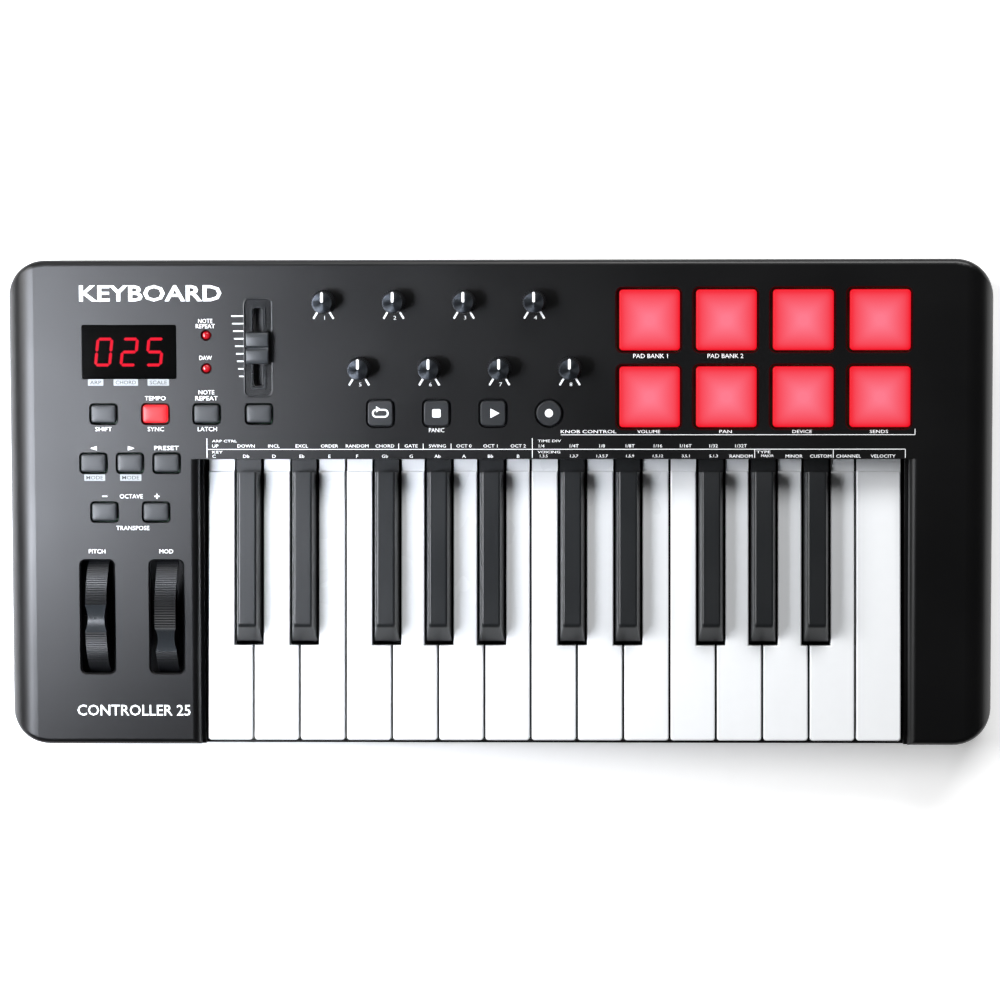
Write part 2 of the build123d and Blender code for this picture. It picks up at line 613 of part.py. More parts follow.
def jack_board():
    """The small board behind the rear wall, with both sockets and the switch's housing."""
    board = block(-233, -144, 88, 118, JACK_BOARD_Z, SOCKET_Z)
    for x, y in JACK_POSTS:
        board -= post(x, y, 0, 40, 1.4)
    width, length, height = USB_SIZE
    face = DEPTH / 2 - 0.3
    usb = block(USB_X - width / 2, USB_X + width / 2, face - length, face, SOCKET_Z, SOCKET_Z + height)
    usb -= block(USB_X - 4.3, USB_X + 4.3, face - 10, face + 1, SOCKET_Z + 1.4, SOCKET_Z + height - 1.4)
    usb += block(USB_X - 2.8, USB_X + 2.8, face - 10.5, face - 1.5, SOCKET_Z + 2, SOCKET_Z + 4)
    axis = Pos(PEDAL_X, 0, SOCKET_Z + 7) * Rot(-90, 0, 0)
    pedal = block(PEDAL_X - 8, PEDAL_X + 8, 92, 119, SOCKET_Z, SOCKET_Z + 14)
    pedal += axis * Pos(0, 0, 118) * extrude(Circle(5.5), DEPTH / 2 - 118)
    pedal -= axis * Pos(0, 0, 95) * extrude(Circle(PEDAL_BORE_R), 40)
    half_x, half_z = SWITCH_SIZE[0] / 2, SWITCH_SIZE[1] / 2
    low, high = SWITCH_Z - half_z, SWITCH_Z + half_z
    housing = block(SWITCH_X - half_x, SWITCH_X + half_x, 103, DEPTH / 2 - 0.1, low, high)
    housing -= block(SWITCH_X - half_x + 1.2, SWITCH_X + half_x - 1.2, 109, DEPTH, low + 1.2, high - 1.2)
    housing += block(SWITCH_X - 5, SWITCH_X + 5, 104, 108, SOCKET_Z, low + 0.5)
    return [board, usb, pedal, housing]


def power_switch():
    """Rocker with two shallow faces, at rest pressed in at its right end."""
    half_x, half_z = SWITCH_SIZE[0] / 2 - 1.6, SWITCH_SIZE[1] / 2 - 1.5
    outline = Polyline((-half_x + 0.3, 1.6), (0, 0.6), (half_x - 0.3, 1.6), (half_x - 0.9, -5), (-half_x + 0.9, -5),
                       close=True)
    rocker = extrude(make_face(outline), half_z, both=True)
    return Pos(SWITCH_X, DEPTH / 2 - 3.4, SWITCH_Z) * Rot(0, 0, -6) * rocker


def control_board():
    parts = [main_board(), Pos(*FADER, 0) * fader_body()]
    parts += [Pos(u, v, 0) * potentiometer() for u, v in knob_places()]
    parts += [Pos(u, v, 0) * tact_switch() for u, v in (*BUTTONS.values(), *TRANSPORT.values())]
    parts += [Pos(u, v, 0) * lamp() for u, v in LAMPS]
    width, height = WINDOW_SIZE
    parts.append(slab(WINDOW_CENTRE, (width - 6, height - 6), 0.6, BOARD_W, -3.0))   # digit module
    return [PANEL * part for part in parts] + jack_board()


def wheel():
    """A ribbed wheel's core about the X axis, with a finger notch at the top and a moulded axle."""
    across = Rot(0, 90, 0)
    disc = across * extrude(Circle(WHEEL_R), WHEEL_WIDTH / 2, both=True)
    disc = fillet(disc.edges().filter_by(GeomType.CIRCLE), 0.8)
    for side in (-1, 1):
        pocket = across * Pos(0, 0, side * (WHEEL_WIDTH / 2)) * extrude(Circle(WHEEL_R - 4) - Circle(6), 3.0, both=True)
        disc -= pocket
    raised = (180 - SECTOR) / 2
    below = Pos(0, 0, -50) * Box(40, 100, 100)
    cut = (Rot(raised, 0, 0) * below) + (Rot(-raised, 0, 0) * below)
    disc = disc - cut + across * extrude(Circle(6), WHEEL_WIDTH / 2, both=True)
    disc -= Pos(0, 0, NOTCH_CENTRE) * across * extrude(Circle(NOTCH_R), WHEEL_WIDTH, both=True)
    return disc + across * extrude(Circle(AXLE_R), WHEEL_WIDTH / 2 + 4.2, both=True)


def placed_wheel(name):
    u, v = WHEEL_PLACES[name]
    rest = MOD_REST if name == "mod_wheel" else 0
    return PANEL * Pos(u, v, -HUB_DEPTH) * Rot(rest, 0, 0) * wheel()


# ---------------------------------------------------------------- the whole keyboard

def save(name, shape):
    solids = []
    for item in shape if isinstance(shape, list) else [shape]:
        solids += item.solids()
    whole = solids[0] if len(solids) == 1 else Compound(children=solids)
    export_step(whole, f"parts/{name}.step")


def on_panel(u, v, solids):
    return [PANEL * Pos(u, v, 0) * solid for solid in solids]


os.makedirs("parts", exist_ok=True)

save("top_case", top_case())
save("bottom_case", bottom_case())
save("rubber_feet", rubber_feet())
save("case_screws", case_screws())
save("key_chassis", key_chassis())
save("key_springs", key_springs())
save("key_contact_board", key_contact_board())
save("control_board", control_board())
save("display_window", PANEL * display_window())
save("pad_sheet", PANEL * pad_sheet())
save("power_switch", power_switch())
save("fader_cap", [PANEL * solid for solid in fader_cap()])

for name in WHEEL_PLACES:
    save(name, placed_wheel(name))
for index, (u, v) in enumerate(knob_places()):
    save(f"knob_{index + 1}", on_panel(u, v, knob()))
for name, (u, v) in BUTTONS.items():
    save(name, on_panel(u, v, [rectangular_button()]))
for name, (u, v) in TRANSPORT.items():
    save(name, on_panel(u, v, [transport_button(name)]))
for number in range(25):
    make = black_key if number % 12 in BLACK_OFFSET else white_key
    save(key_name(number), make(number))
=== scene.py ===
import json
from math import atan2, cos, pi, radians, sin

import bpy
from bpy.props import FloatProperty, FloatVectorProperty, IntProperty, PointerProperty, StringProperty
from mathutils import Matrix, Vector


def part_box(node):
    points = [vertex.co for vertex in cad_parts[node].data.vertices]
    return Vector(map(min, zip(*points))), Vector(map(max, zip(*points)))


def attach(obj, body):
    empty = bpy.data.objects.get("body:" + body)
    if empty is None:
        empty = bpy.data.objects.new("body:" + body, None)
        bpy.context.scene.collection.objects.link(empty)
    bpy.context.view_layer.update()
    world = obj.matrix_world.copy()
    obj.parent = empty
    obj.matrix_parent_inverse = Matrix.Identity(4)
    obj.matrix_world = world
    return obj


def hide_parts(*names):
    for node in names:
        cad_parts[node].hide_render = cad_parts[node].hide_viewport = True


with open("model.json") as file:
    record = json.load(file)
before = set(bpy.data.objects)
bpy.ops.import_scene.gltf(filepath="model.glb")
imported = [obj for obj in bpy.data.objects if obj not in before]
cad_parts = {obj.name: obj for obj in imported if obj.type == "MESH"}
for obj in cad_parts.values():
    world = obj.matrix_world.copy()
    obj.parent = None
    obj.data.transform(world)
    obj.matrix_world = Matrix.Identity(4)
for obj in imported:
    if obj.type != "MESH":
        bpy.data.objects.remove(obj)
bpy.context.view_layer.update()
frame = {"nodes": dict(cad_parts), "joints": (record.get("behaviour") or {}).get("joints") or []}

bl_info = {
    "name": "Midi keyboard",
    "version": (1, 0, 0),
    "blender": (4, 5, 0),
    "location": "3D View > Sidebar > Keyboard",
    "description": "Finishes, printing, lights and fine parts of a compact midi keyboard",
    "category": "Object",
}

MM = 0.001
NODES = frame["nodes"]
JOINTS = {joint["name"]: joint for joint in frame["joints"]}
CASE = "case"


# ---------------------------------------------------------------- places, read from the frame

def panel_matrix():
    """The panel's own frame in millimetres: x right, y up the slope from the rear edge, z out."""
    joint = JOINTS["knob_1_turn"]
    out = Vector(joint["axis"]).normalized()
    up = out.cross(Vector((1, 0, 0)))
    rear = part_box("top_case")[1][1]
    knob_base = Vector(joint["pos_m"]) - out * 5 * MM
    origin = knob_base + up * ((rear - knob_base.y) / up.y)
    origin.x = 0
    axes = Matrix((Vector((1, 0, 0)), up, out)).transposed().to_4x4()
    return Matrix.Translation(origin) @ axes @ Matrix.Scale(MM, 4)


PANEL = panel_matrix()
TO_PANEL = PANEL.inverted()


def place(node):
    """The middle of a CAD node on the panel: right, up the slope, out."""
    low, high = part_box(node)
    return TO_PANEL @ ((Vector(low) + Vector(high)) / 2)


def joint_place(name):
    """A joint's place on the panel."""
    return TO_PANEL @ Vector(JOINTS[name]["pos_m"])


def key_column(number):
    """Where a key's legend stands: over a black key, or between the black keys beside a white one."""
    black = {int(name[4:6]): name for name in NODES if name.startswith("key_") and name.endswith("_sharp")}
    if number in black:
        return place(black[number]).x
    nearest = min(abs(n - number) for n in black)
    beside = [place(black[n]).x - 14 * (n - number) for n in black if abs(n - number) == nearest]
    return sum(beside) / len(beside)


# ---------------------------------------------------------------- settings that a user would change

def rgb(code):
    """A six-digit sRGB hex colour as linear RGBA."""
    parts = [int(code.lstrip("#")[i:i + 2], 16) / 255 for i in (0, 2, 4)]
    linear = [c / 12.92 if c <= 0.04045 else ((c + 0.055) / 1.055) ** 2.4 for c in parts]
    return (*linear, 1.0)


def length(name, description, millimetres):
    """A size that the user can change, kept in metres."""
    return FloatProperty(name=name, description=description, default=millimetres * MM, min=0.0, precision=5,
                         subtype="DISTANCE", unit="LENGTH")


def colour(name, description, code):
    """A colour that the user can change."""
    return FloatVectorProperty(name=name, description=description, default=rgb(code), size=4, min=0.0, max=1.0,
                               subtype="COLOR")


class KeyboardSizes(bpy.types.PropertyGroup):
    print_lift: length("Print height", "How far the printing stands off the panel", 0.03)
    label_height: length("Label height", "Height of the capitals of the small labels", 2.15)
    table_height: length("Table label height", "Height of the key table's capitals", 1.6)
    line_width: length("Line width", "Width of the printed lines", 0.32)
    digit_height: length("Digit height", "Height of the display's digits", 14.6)
    digit_pitch: length("Digit pitch", "Distance from digit to digit", 12.9)
    digit_slant: FloatProperty(name="Digit slant", description="How far the digits lean", default=radians(6),
                               subtype="ANGLE", unit="ROTATION")
    pad_size: length("Pad size", "Side of a pad", 30.4)
    pad_dome: length("Pad dome", "How much the pads rise to their middles", 0.5)
    knob_flutes: IntProperty(name="Knob flutes", description="Number of flutes round a knob", default=30, min=6)
    rib_pitch: length("Rib pitch", "Distance from rib to rib on a wheel", 1.3)
    reading: StringProperty(name="Reading", description="Number that the display shows", default="025", maxlen=3)


class KeyboardColours(bpy.types.PropertyGroup):
    case: colour("Case", "Colour of the case's plastic", "#030304")
    white_key: colour("White keys", "Colour of the white keys", "#F2F4F6")
    black_key: colour("Black keys", "Colour of the black keys", "#17191B")
    button: colour("Buttons", "Colour of the grey buttons", "#1E2124")
    transport: colour("Transport buttons", "Colour of the transport buttons", "#1C1E21")
    ink: colour("Printing", "Colour of the printing", "#F4F6F8")
    digits: colour("Digits", "Colour of the lit digits", "#F01832")


def mm(name):
    """One of the sizes, in millimetres."""
    return getattr(bpy.context.scene.keyboard_sizes, name) / MM


def chosen(name):
    """One of the colours, as linear RGBA."""
    return tuple(getattr(bpy.context.scene.keyboard_colours, name))


# ---------------------------------------------------------------- materials

def add(tree, kind, inputs=None, **settings):
    """Adds a node: settings are its own properties; inputs are values, or other nodes' outputs to link."""
    node = tree.nodes.new(kind)
    for name, value in settings.items():
        setattr(node, name, value)
    for name, value in (inputs or {}).items():
        socket = node.inputs[name]
        if isinstance(value, bpy.types.NodeSocket):
            tree.links.new(value, socket)
        else:
            socket.default_value = value
    return node


def finish(name, inputs, tree_maker=None):
    """A Principled material; tree_maker(tree) returns what is linked to the shader's sockets."""
    material = bpy.data.materials.new(name)
    material.use_nodes = True
    tree = material.node_tree
    tree.nodes.clear()
    linked = tree_maker(tree) if tree_maker else {}
    shader = add(tree, "ShaderNodeBsdfPrincipled", {**inputs, **linked})
    output = add(tree, "ShaderNodeOutputMaterial")
    tree.links.new(shader.outputs["BSDF"], output.inputs["Surface"])
    return material


def object_coordinates(tree):
    return add(tree, "ShaderNodeTexCoord").outputs["Object"]


def tinted(tree, factor, dark, light):
    """A colour that moves between two tints as factor goes from 0 to 1."""
    mix = add(tree, "ShaderNodeMix", {"Factor": factor, 6: dark, 7: light}, data_type="RGBA")
    return mix.outputs[2]


def moulded(base, grain_mm, bump_mm, rough, spread=0.06, tint=0.10):
    """Moulded plastic of a linear base colour: a fine grain, with small changes in shade and gloss."""
    def build(tree):
        where = object_coordinates(tree)
        grain = add(tree, "ShaderNodeTexNoise", {"Vector": where, "Scale": 1 / (grain_mm * MM), "Detail": 2.0})
        broad = add(tree, "ShaderNodeTexNoise", {"Vector": where, "Scale": 1 / (60 * MM), "Detail": 3.0})
        dark = (*[c * (1 - tint) for c in base[:3]], 1)
        light = (*[min(1, c * (1 + tint)) for c in base[:3]], 1)
        colour = tinted(tree, grain.outputs["Fac"], dark, light)
        gloss = add(tree, "ShaderNodeMapRange", {"Value": broad.outputs["Fac"], "From Min": 0.3, "From Max": 0.7,
                                                 "To Min": rough - spread, "To Max": rough + spread})
        bump = add(tree, "ShaderNodeBump", {"Height": grain.outputs["Fac"], "Strength": 0.35,
                                            "Distance": bump_mm * MM})
        return {"Base Color": colour, "Roughness": gloss.outputs["Result"], "Normal": bump.outputs["Normal"]}
    return build


def eroded_abs():
    # Black ABS from a spark-eroded mould: an even matte grain, which turns the light into a soft wide sheen.
    # The real grain of 0.15 mm is drawn at 0.8 mm, so that it shows.
    return finish("abs_spark_eroded", {"IOR": 1.45}, moulded(chosen("case"), 0.8, 0.03, 0.37, 0.03))


def polished_white_abs():
    # White ABS from a polished mould: clean, bright, with soft reflections.
    return finish("abs_white_polished", {"IOR": 1.53, "Coat Weight": 0.15, "Coat Roughness": 0.2},
                  moulded(chosen("white_key"), 6.0, 0.004, 0.28, 0.03, 0.015))


def satin_black_abs():
    # Black key ABS, lightly textured against slipping: satin, with clear light lines on its rounded edges.
    return finish("abs_black_satin", {"IOR": 1.53}, moulded(chosen("black_key"), 0.7, 0.02, 0.36))


def button_abs():
    # Painted and lacquered grey caps: smoother and lighter than the panel.
    return finish("abs_grey_satin", {"IOR": 1.53}, moulded(chosen("button"), 0.6, 0.01, 0.46))


def transport_abs():
    # Dark satin caps that carry white symbols.
    return finish("abs_dark_satin", {"IOR": 1.53}, moulded(chosen("transport"), 0.6, 0.015, 0.42))


def knob_abs():
    # Deep black ABS of the knobs' fluted skirts.
    return finish("abs_fluted_black", {"IOR": 1.53}, moulded(rgb("#15171A"), 0.7, 0.01, 0.34))


def studio_paper():
    # The white paper floor: dull, and lifted a little so that it stays near white round the object.
    return finish("paper_white", {"Roughness": 0.9, "Emission Color": rgb("#FFFFFF"), "Emission Strength": 0.36},
                  moulded(rgb("#FFFFFF"), 5.0, 0.01, 0.9, 0.02, 0.0))


def ribbed_abs():
    # Black ABS of the wheels' ribbed treads: satin, so that only the ribs' edges catch the light.
    return finish("abs_ribbed_black", {"IOR": 1.53}, moulded(rgb("#0C0D0F"), 0.7, 0.01, 0.4))


def polished_black_abs_painted_highlight():
    # The wheels' finger notches are polished: a clear soft mirror in each. Their base colour is lighter than the
    # ribs' black, a painted highlight.
    return finish("abs_polished_black", {"IOR": 1.53, "Coat Weight": 0.4, "Coat Roughness": 0.12},
                  moulded(rgb("#24272A"), 3.0, 0.002, 0.22, 0.03))


def grip_abs():
    # Satin dark ABS of the fader's grip.
    return finish("abs_fader_grip", {"IOR": 1.53}, moulded(rgb("#2B2E31"), 0.6, 0.01, 0.4))


def recess_abs():
    # The fader's recess has a finer grain than the case: smoother and blacker.
    return finish("abs_recess_satin", {"IOR": 1.5}, moulded(rgb("#060708"), 0.7, 0.01, 0.28))


def bead_abs():
    # The raised beads round the fader's recess and slot: half gloss, which draws them as thin light lines.
    return finish("abs_frame_black", {"IOR": 1.53}, moulded(rgb("#15171A"), 0.7, 0.01, 0.3))


def frame_abs():
    # Plain dark moulding inside the case, never seen in full light.
    return finish("abs_unpolished", {"IOR": 1.53}, moulded(rgb("#2B2C2E"), 1.2, 0.03, 0.6))


def moulded_rubber():
    # Feet of moulded black rubber: dull, with a dusty bloom.
    return finish("rubber_moulded", {"IOR": 1.52}, moulded(rgb("#1C1C1D"), 1.0, 0.06, 0.8, 0.08, 0.2))


def black_zinc():
    # Screws in black zinc: dark metal, slightly uneven in gloss.
    return finish("steel_black_zinc", {"Metallic": 1.0}, moulded(rgb("#3A3B3E"), 0.9, 0.01, 0.35, 0.1, 0.15))


def spring_steel():
    # Bright rolled strip of the key springs.
    return finish("steel_rolled_strip", {"Metallic": 1.0}, moulded(rgb("#B8BBBE"), 0.5, 0.005, 0.3, 0.08))


def nickel():
    # Nickel-plated socket and shaft metal.
    return finish("steel_nickel_plated", {"Metallic": 1.0}, moulded(rgb("#C9C6BF"), 0.8, 0.004, 0.24, 0.06))


def smoked_acrylic():
    # Smoked acrylic window: black, with a mirror-like polish.
    return finish("acrylic_smoked", {"IOR": 1.46}, moulded(rgb("#020202"), 20.0, 0.001, 0.06, 0.02))


def solder_resist():
    # Green solder resist over glass fibre board, with a faint weave of 0.6 mm.
    def build(tree):
        where = object_coordinates(tree)
        weave = add(tree, "ShaderNodeTexWave", {"Vector": where, "Scale": 1 / (3.6 * MM), "Distortion": 0.6})
        colour = tinted(tree, weave.outputs["Fac"], rgb("#0B3B22"), rgb("#0F4B2B"))
        return {"Base Color": colour}
    return finish("epoxy_solder_resist", {"IOR": 1.5, "Roughness": 0.35}, build)


def self_lit_screen_ink():
    # Screen-printed white ink: opaque, flat, a little uneven in thickness, with a faint painted glow that is no
    # lamp.
    ink = chosen("ink")
    return finish("ink_screen_printed", {"IOR": 1.5, "Emission Color": ink, "Emission Strength": 0.3},
                  moulded(ink, 0.9, 0.004, 0.5, 0.05, 0.05))


def box_ink():
    # The boxes are printed thinner than the lettering: a greyer white, in which dark letters stay readable.
    return finish("ink_thin_white", {"IOR": 1.5}, moulded(rgb("#979C9F"), 0.9, 0.004, 0.5, 0.05, 0.04))


def dark_ink():
    # Thin dark lettering printed over the white boxes.
    return finish("ink_grey", {"IOR": 1.5}, moulded(rgb("#1B1D20"), 0.9, 0.004, 0.5, 0.05, 0.05))


def lit_silicone():
    # Translucent silicone pads over red lamps: pale pink in the middle, pure red at the edges, satin skin.
    # The pad's own UV map runs from 0 to 1 across it.
    centre, edge = rgb("#FF7E92"), rgb("#F5061F")

    def build(tree):
        uv = add(tree, "ShaderNodeUVMap", uv_map="across").outputs["UV"]
        middle = add(tree, "ShaderNodeVectorMath", {0: uv, 1: (0.5, 0.5, 0.0)}, operation="SUBTRACT")
        away = add(tree, "ShaderNodeVectorMath", {0: middle.outputs[0]}, operation="ABSOLUTE")
        parts = add(tree, "ShaderNodeSeparateXYZ", {0: away.outputs[0]})
        widest = add(tree, "ShaderNodeMath", {0: parts.outputs[0], 1: parts.outputs[1], 2: 0.16},
                     operation="SMOOTH_MAX")
        ramp = add(tree, "ShaderNodeValToRGB", {"Fac": widest.outputs[0]})
        stops = ramp.color_ramp.elements
        stops[0].position, stops[0].color = 0.08, centre
        stops[1].position, stops[1].color = 0.5, edge
        stops.new(0.405).color = tuple(0.3 * a + 0.7 * b for a, b in zip(centre, edge))
        speckle = add(tree, "ShaderNodeTexNoise", {"Vector": object_coordinates(tree), "Scale": 1 / (1.2 * MM)})
        bump = add(tree, "ShaderNodeBump", {"Height": speckle.outputs["Fac"], "Strength": 0.2,
                                            "Distance": 0.02 * MM})
        return {"Emission Color": ramp.outputs["Color"], "Normal": bump.outputs["Normal"]}
    return finish("silicone_lit", {"Base Color": rgb("#3A0308"), "Roughness": 0.5, "IOR": 1.4,
                                   "Specular IOR Level": 0.2, "Emission Strength": 0.95}, build)


def lit_cap():
    # A translucent cap over a lamp: nearly even red.
    return finish("abs_lit_red", {"IOR": 1.53, "Emission Color": rgb("#FF2A34"), "Emission Strength": 0.95,
                                  "Specular IOR Level": 0.3}, moulded(rgb("#4A060C"), 1.5, 0.01, 0.4))


def lit_segment():
    # Light-guide segments of the digits.
    return finish("epoxy_segment_red", {"IOR": 1.4, "Emission Color": chosen("digits"), "Emission Strength": 1.0},
                  moulded(rgb("#2A0508"), 2.0, 0.002, 0.08, 0.02))


def lamp_epoxy():
    # Red epoxy lamp domes: dark glassy red with a small bright point.
    return finish("epoxy_lamp_red", {"IOR": 1.5, "Emission Color": rgb("#B8101C"), "Emission Strength": 0.35,
                                     "Coat Weight": 0.6, "Coat Roughness": 0.05},
                  moulded(rgb("#8A0D16"), 4.0, 0.002, 0.15, 0.03))


def turned_top():
    # The knob's top is turned: fine rings round its middle pull every reflection into a bow tie.
    def build(tree):
        uv = add(tree, "ShaderNodeUVMap", uv_map="around").outputs["UV"]
        tangent = add(tree, "ShaderNodeTangent", direction_type="UV_MAP", uv_map="around")
        parts = add(tree, "ShaderNodeSeparateXYZ", {0: uv})
        rings = add(tree, "ShaderNodeMath", {0: parts.outputs[1], 1: 60.0}, operation="MULTIPLY")
        wave = add(tree, "ShaderNodeMath", {0: rings.outputs[0]}, operation="SINE")
        level = add(tree, "ShaderNodeMapRange", {"Value": wave.outputs[0], "From Min": -1.0, "To Min": 0.0})
        colour = tinted(tree, level.outputs["Result"], rgb("#303337"), rgb("#3C4045"))
        return {"Base Color": colour, "Tangent": tangent.outputs["Tangent"]}
    return finish("aluminium_turned_black", {"Metallic": 0.85, "Roughness": 0.36, "Anisotropic": 0.9}, build)


def paint(node, *materials):
    """Gives a CAD node its materials, the first one everywhere."""
    slots = NODES[node].data.materials
    slots.clear()
    for material in materials:
        slots.append(material)
    NODES[node].data.polygons.foreach_set("material_index", [0] * len(NODES[node].data.polygons))


def paint_where(node, index, test):
    """Gives the faces whose middle passes the test another of the node's materials."""
    for face in NODES[node].data.polygons:
        if test(TO_PANEL @ face.center, face.center):
            face.material_index = index


# ---------------------------------------------------------------- modelling helpers

def deselect():
    for item in bpy.context.selected_objects:
        item.select_set(False)


def added(operator, **settings):
    """Adds a primitive with nothing else selected, and returns it."""
    deselect()
    operator(**settings)
    return bpy.context.object


def apply_matrix(piece, matrix):
    """Puts the piece's place into its mesh and leaves the object at the origin."""
    deselect()
    piece.select_set(True)
    bpy.context.view_layer.objects.active = piece
    piece.matrix_world = matrix @ piece.matrix_world
    bpy.ops.object.transform_apply(location=True, rotation=True, scale=True)
    return piece


def join(pieces, name):
    deselect()
    for piece in pieces:
        piece.select_set(True)
    bpy.context.view_layer.objects.active = pieces[0]
    if len(pieces) > 1:
        bpy.ops.object.join()
    pieces[0].name = name
    pieces[0].data.name = name
    return pieces[0]


def select(piece, kind, test):
    """In object mode, selects the vertices, edges or faces that pass the test, then enters edit mode."""
    mesh = piece.data
    bpy.context.view_layer.objects.active = piece
    for group in (mesh.vertices, mesh.edges, mesh.polygons):
        group.foreach_set("select", [False] * len(group))
    for item in getattr(mesh, kind):
        item.select = bool(test(item))
    modes = {"vertices": (True, False, False), "edges": (False, True, False), "polygons": (False, False, True)}
    bpy.context.tool_settings.mesh_select_mode = modes[kind]
    bpy.ops.object.mode_set(mode="EDIT")


def leave():
    bpy.ops.object.mode_set(mode="OBJECT")


def edge_ends(piece, edge):
    return [piece.data.vertices[i].co for i in edge.vertices]


def modified(piece, kind, **settings):
    """Adds a modifier and applies it."""
    deselect()
    piece.select_set(True)
    bpy.context.view_layer.objects.active = piece
    modifier = piece.modifiers.new(kind.lower(), kind)
    for name, value in settings.items():
        setattr(modifier, name, value)
    bpy.ops.object.modifier_apply(modifier=modifier.name)
    return piece


def smoothed(piece, angle=radians(30)):
    deselect()
    piece.select_set(True)
    bpy.context.view_layer.objects.active = piece
    bpy.ops.object.shade_smooth_by_angle(angle=angle)
    return piece


def outward(piece):
    select(piece, "polygons", everything)
    bpy.ops.mesh.remove_doubles(threshold=1e-5)
    bpy.ops.mesh.normals_make_consistent(inside=False)
    leave()
    return piece


def copy_of(piece, name):
    """A copy with its own mesh."""
    twin = piece.copy()
    twin.data = piece.data.copy()
    twin.name = twin.data.name = name
    bpy.context.collection.objects.link(twin)
    return twin


def discard(piece):
    bpy.data.objects.remove(piece, do_unlink=True)


def everything(item):
    return True


def top_face(face):
    """True for the flat face in the middle of a piece's top."""
    return face.normal.z > 0.9 and face.center.xy.length < 0.1


def raised(piece, height):
    """Turns a flat patch into a block."""
    select(piece, "polygons", everything)
    bpy.ops.mesh.extrude_region_move(TRANSFORM_OT_translate={"value": (0, 0, height)})
    leave()


def rounded(piece, steps):
    """Insets the top by each width and moves it up by each rise, which rounds its rim."""
    for inset, rise in steps:
        select(piece, "polygons", top_face)
        bpy.ops.mesh.inset(thickness=inset)
        bpy.ops.transform.translate(value=(0, 0, rise))
        leave()


def domed(piece, steps):
    """Draws the top up by each rise and in by each share, which crowns it."""
    for share, rise in steps:
        select(piece, "polygons", top_face)
        bpy.ops.mesh.extrude_region_move(TRANSFORM_OT_translate={"value": (0, 0, rise)})
        bpy.ops.transform.resize(value=(share, share, 1), center_override=(0, 0, 0))
        leave()


def stemmed(piece, inset, length_down):
    """Adds a narrower stem that goes down from the piece's underside."""
    select(piece, "polygons", lambda face: face.center.z < 0.1)
    bpy.ops.mesh.inset(thickness=inset)
    bpy.ops.mesh.extrude_region_move(TRANSFORM_OT_translate={"value": (0, 0, -length_down)})
    leave()


def plate(width, height, u, v, corner=0.0):
    """A flat printed patch, with its corners rounded."""
    piece = added(bpy.ops.mesh.primitive_plane_add, size=1)
    apply_matrix(piece, Matrix.Diagonal((width, height, 1, 1)))
    if corner:
        select(piece, "vertices", lambda vertex: True)
        bpy.ops.mesh.bevel(offset=corner, segments=4, affect="VERTICES")
        leave()
    return apply_matrix(piece, Matrix.Translation((u, v, 0)))


def words(body, u, v, height, width=None, bold=0.0, from_left=False):
    """Lettering as a mesh, centred on its place or starting there, stretched to the given height and width."""
    letters = added(bpy.ops.object.text_add)
    letters.data.body = body
    letters.data.offset = bold
    letters.data.resolution_u = 2
    bpy.ops.object.convert(target="MESH")
    letters = bpy.context.object
    points = [vertex.co for vertex in letters.data.vertices]
    low = Vector((min(p.x for p in points), min(p.y for p in points)))
    high = Vector((max(p.x for p in points), max(p.y for p in points)))
    tall = height / (high.y - low.y)
    wide = width / (high.x - low.x) if width else tall * 1.18
    start = -wide * (low.x if from_left else (low.x + high.x) / 2)
    shift = Matrix.Translation((u + start, v - (low.y + high.y) / 2 * tall, 0))
    return apply_matrix(letters, shift @ Matrix.Diagonal((wide, tall, 1, 1)))


def on_panel(pieces, name, lift, material, body=CASE):
    """Joins flat pieces, lays them on the panel and makes them ride."""
    whole = join(pieces, name)
    apply_matrix(whole, PANEL @ Matrix.Translation((0, 0, lift)))
    whole.data.materials.clear()
    whole.data.materials.append(material)
    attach(whole, body)


# ---------------------------------------------------------------- printing

# All places are in panel millimetres: right, then up the slope. A fourth number is a width.
TITLE = ("KEYBOARD", -211.6, -16.9, 8.3, 72.0, 0.02)
SUBTITLE = ("CONTROLLER 25", -214.8, -228.7, 5.6, 57.6, 0.008)
LABELS = (
    ("NOTE", -147.9, -30.9, 7.2), ("REPEAT", -147.9, -33.5, 9.6), ("DAW", -147.9, -49.5, 6.3),
    ("NOTE", -147.6, -66.9, 8.0), ("REPEAT", -147.6, -69.9, 11.3), ("TEMPO", -173.6, -69.9, 10.6),
    ("SHIFT", -199.9, -85.5, 8.4), ("SYNC", -173.4, -85.5, 8.3), ("LATCH", -147.3, -85.5, 9.7),
    ("PRESET", -168.1, -95.1, 12.4), ("OCTAVE", -186.2, -119.6, 11.7),
    ("TRANSPOSE", -185.6, -135.7, 16.8), ("PITCH", -203.9, -147.6, 8.4), ("MOD", -168.7, -147.6, 7.0),
    ("PANIC", -31.4, -86.1, 7.7), ("PAD BANK 1", 76.4, -48.8, 17.4), ("PAD BANK 2", 114.0, -48.8, 18.0),
)
ARROWS = ((-204.6, -95.2, 1), (-186.6, -95.2, -1))
SIGN_LENGTH, SIGN_WIDTH = 2.6, 0.55
MINUS, PLUS = (-199.7, -119.6), (-173.2, -119.6)
BOXES = (("ARP", -203.7, -61.9, 8.1), ("CHORD", -188.4, -61.9, 12.7), ("SCALE", -171.9, -61.9, 11.2),
         ("MODE", -204.7, -110.1, 10.9), ("MODE", -186.4, -110.1, 11.1))
UPPER_ROW = ("UP", "DOWN", "INCL", "EXCL", "ORDER", "RANDOM", "CHORD", "GATE", "SWING", "OCT 0", "OCT 1", "OCT 2",
             "1/4", "1/4T", "1/8", "1/8T", "1/16", "1/16T", "1/32", "1/32T")
LOWER_ROW = ("C", "Db", "D", "Eb", "E", "F", "Gb", "G", "Ab", "A", "Bb", "B", "1,3,5", "1,3,7", "1,3,5,7",
             "1,5,9", "1,5,12", "3,5,1", "5,1,3", "RANDOM", "MAJOR", "MINOR", "CUSTOM", "CHANNEL", "VELOCITY")
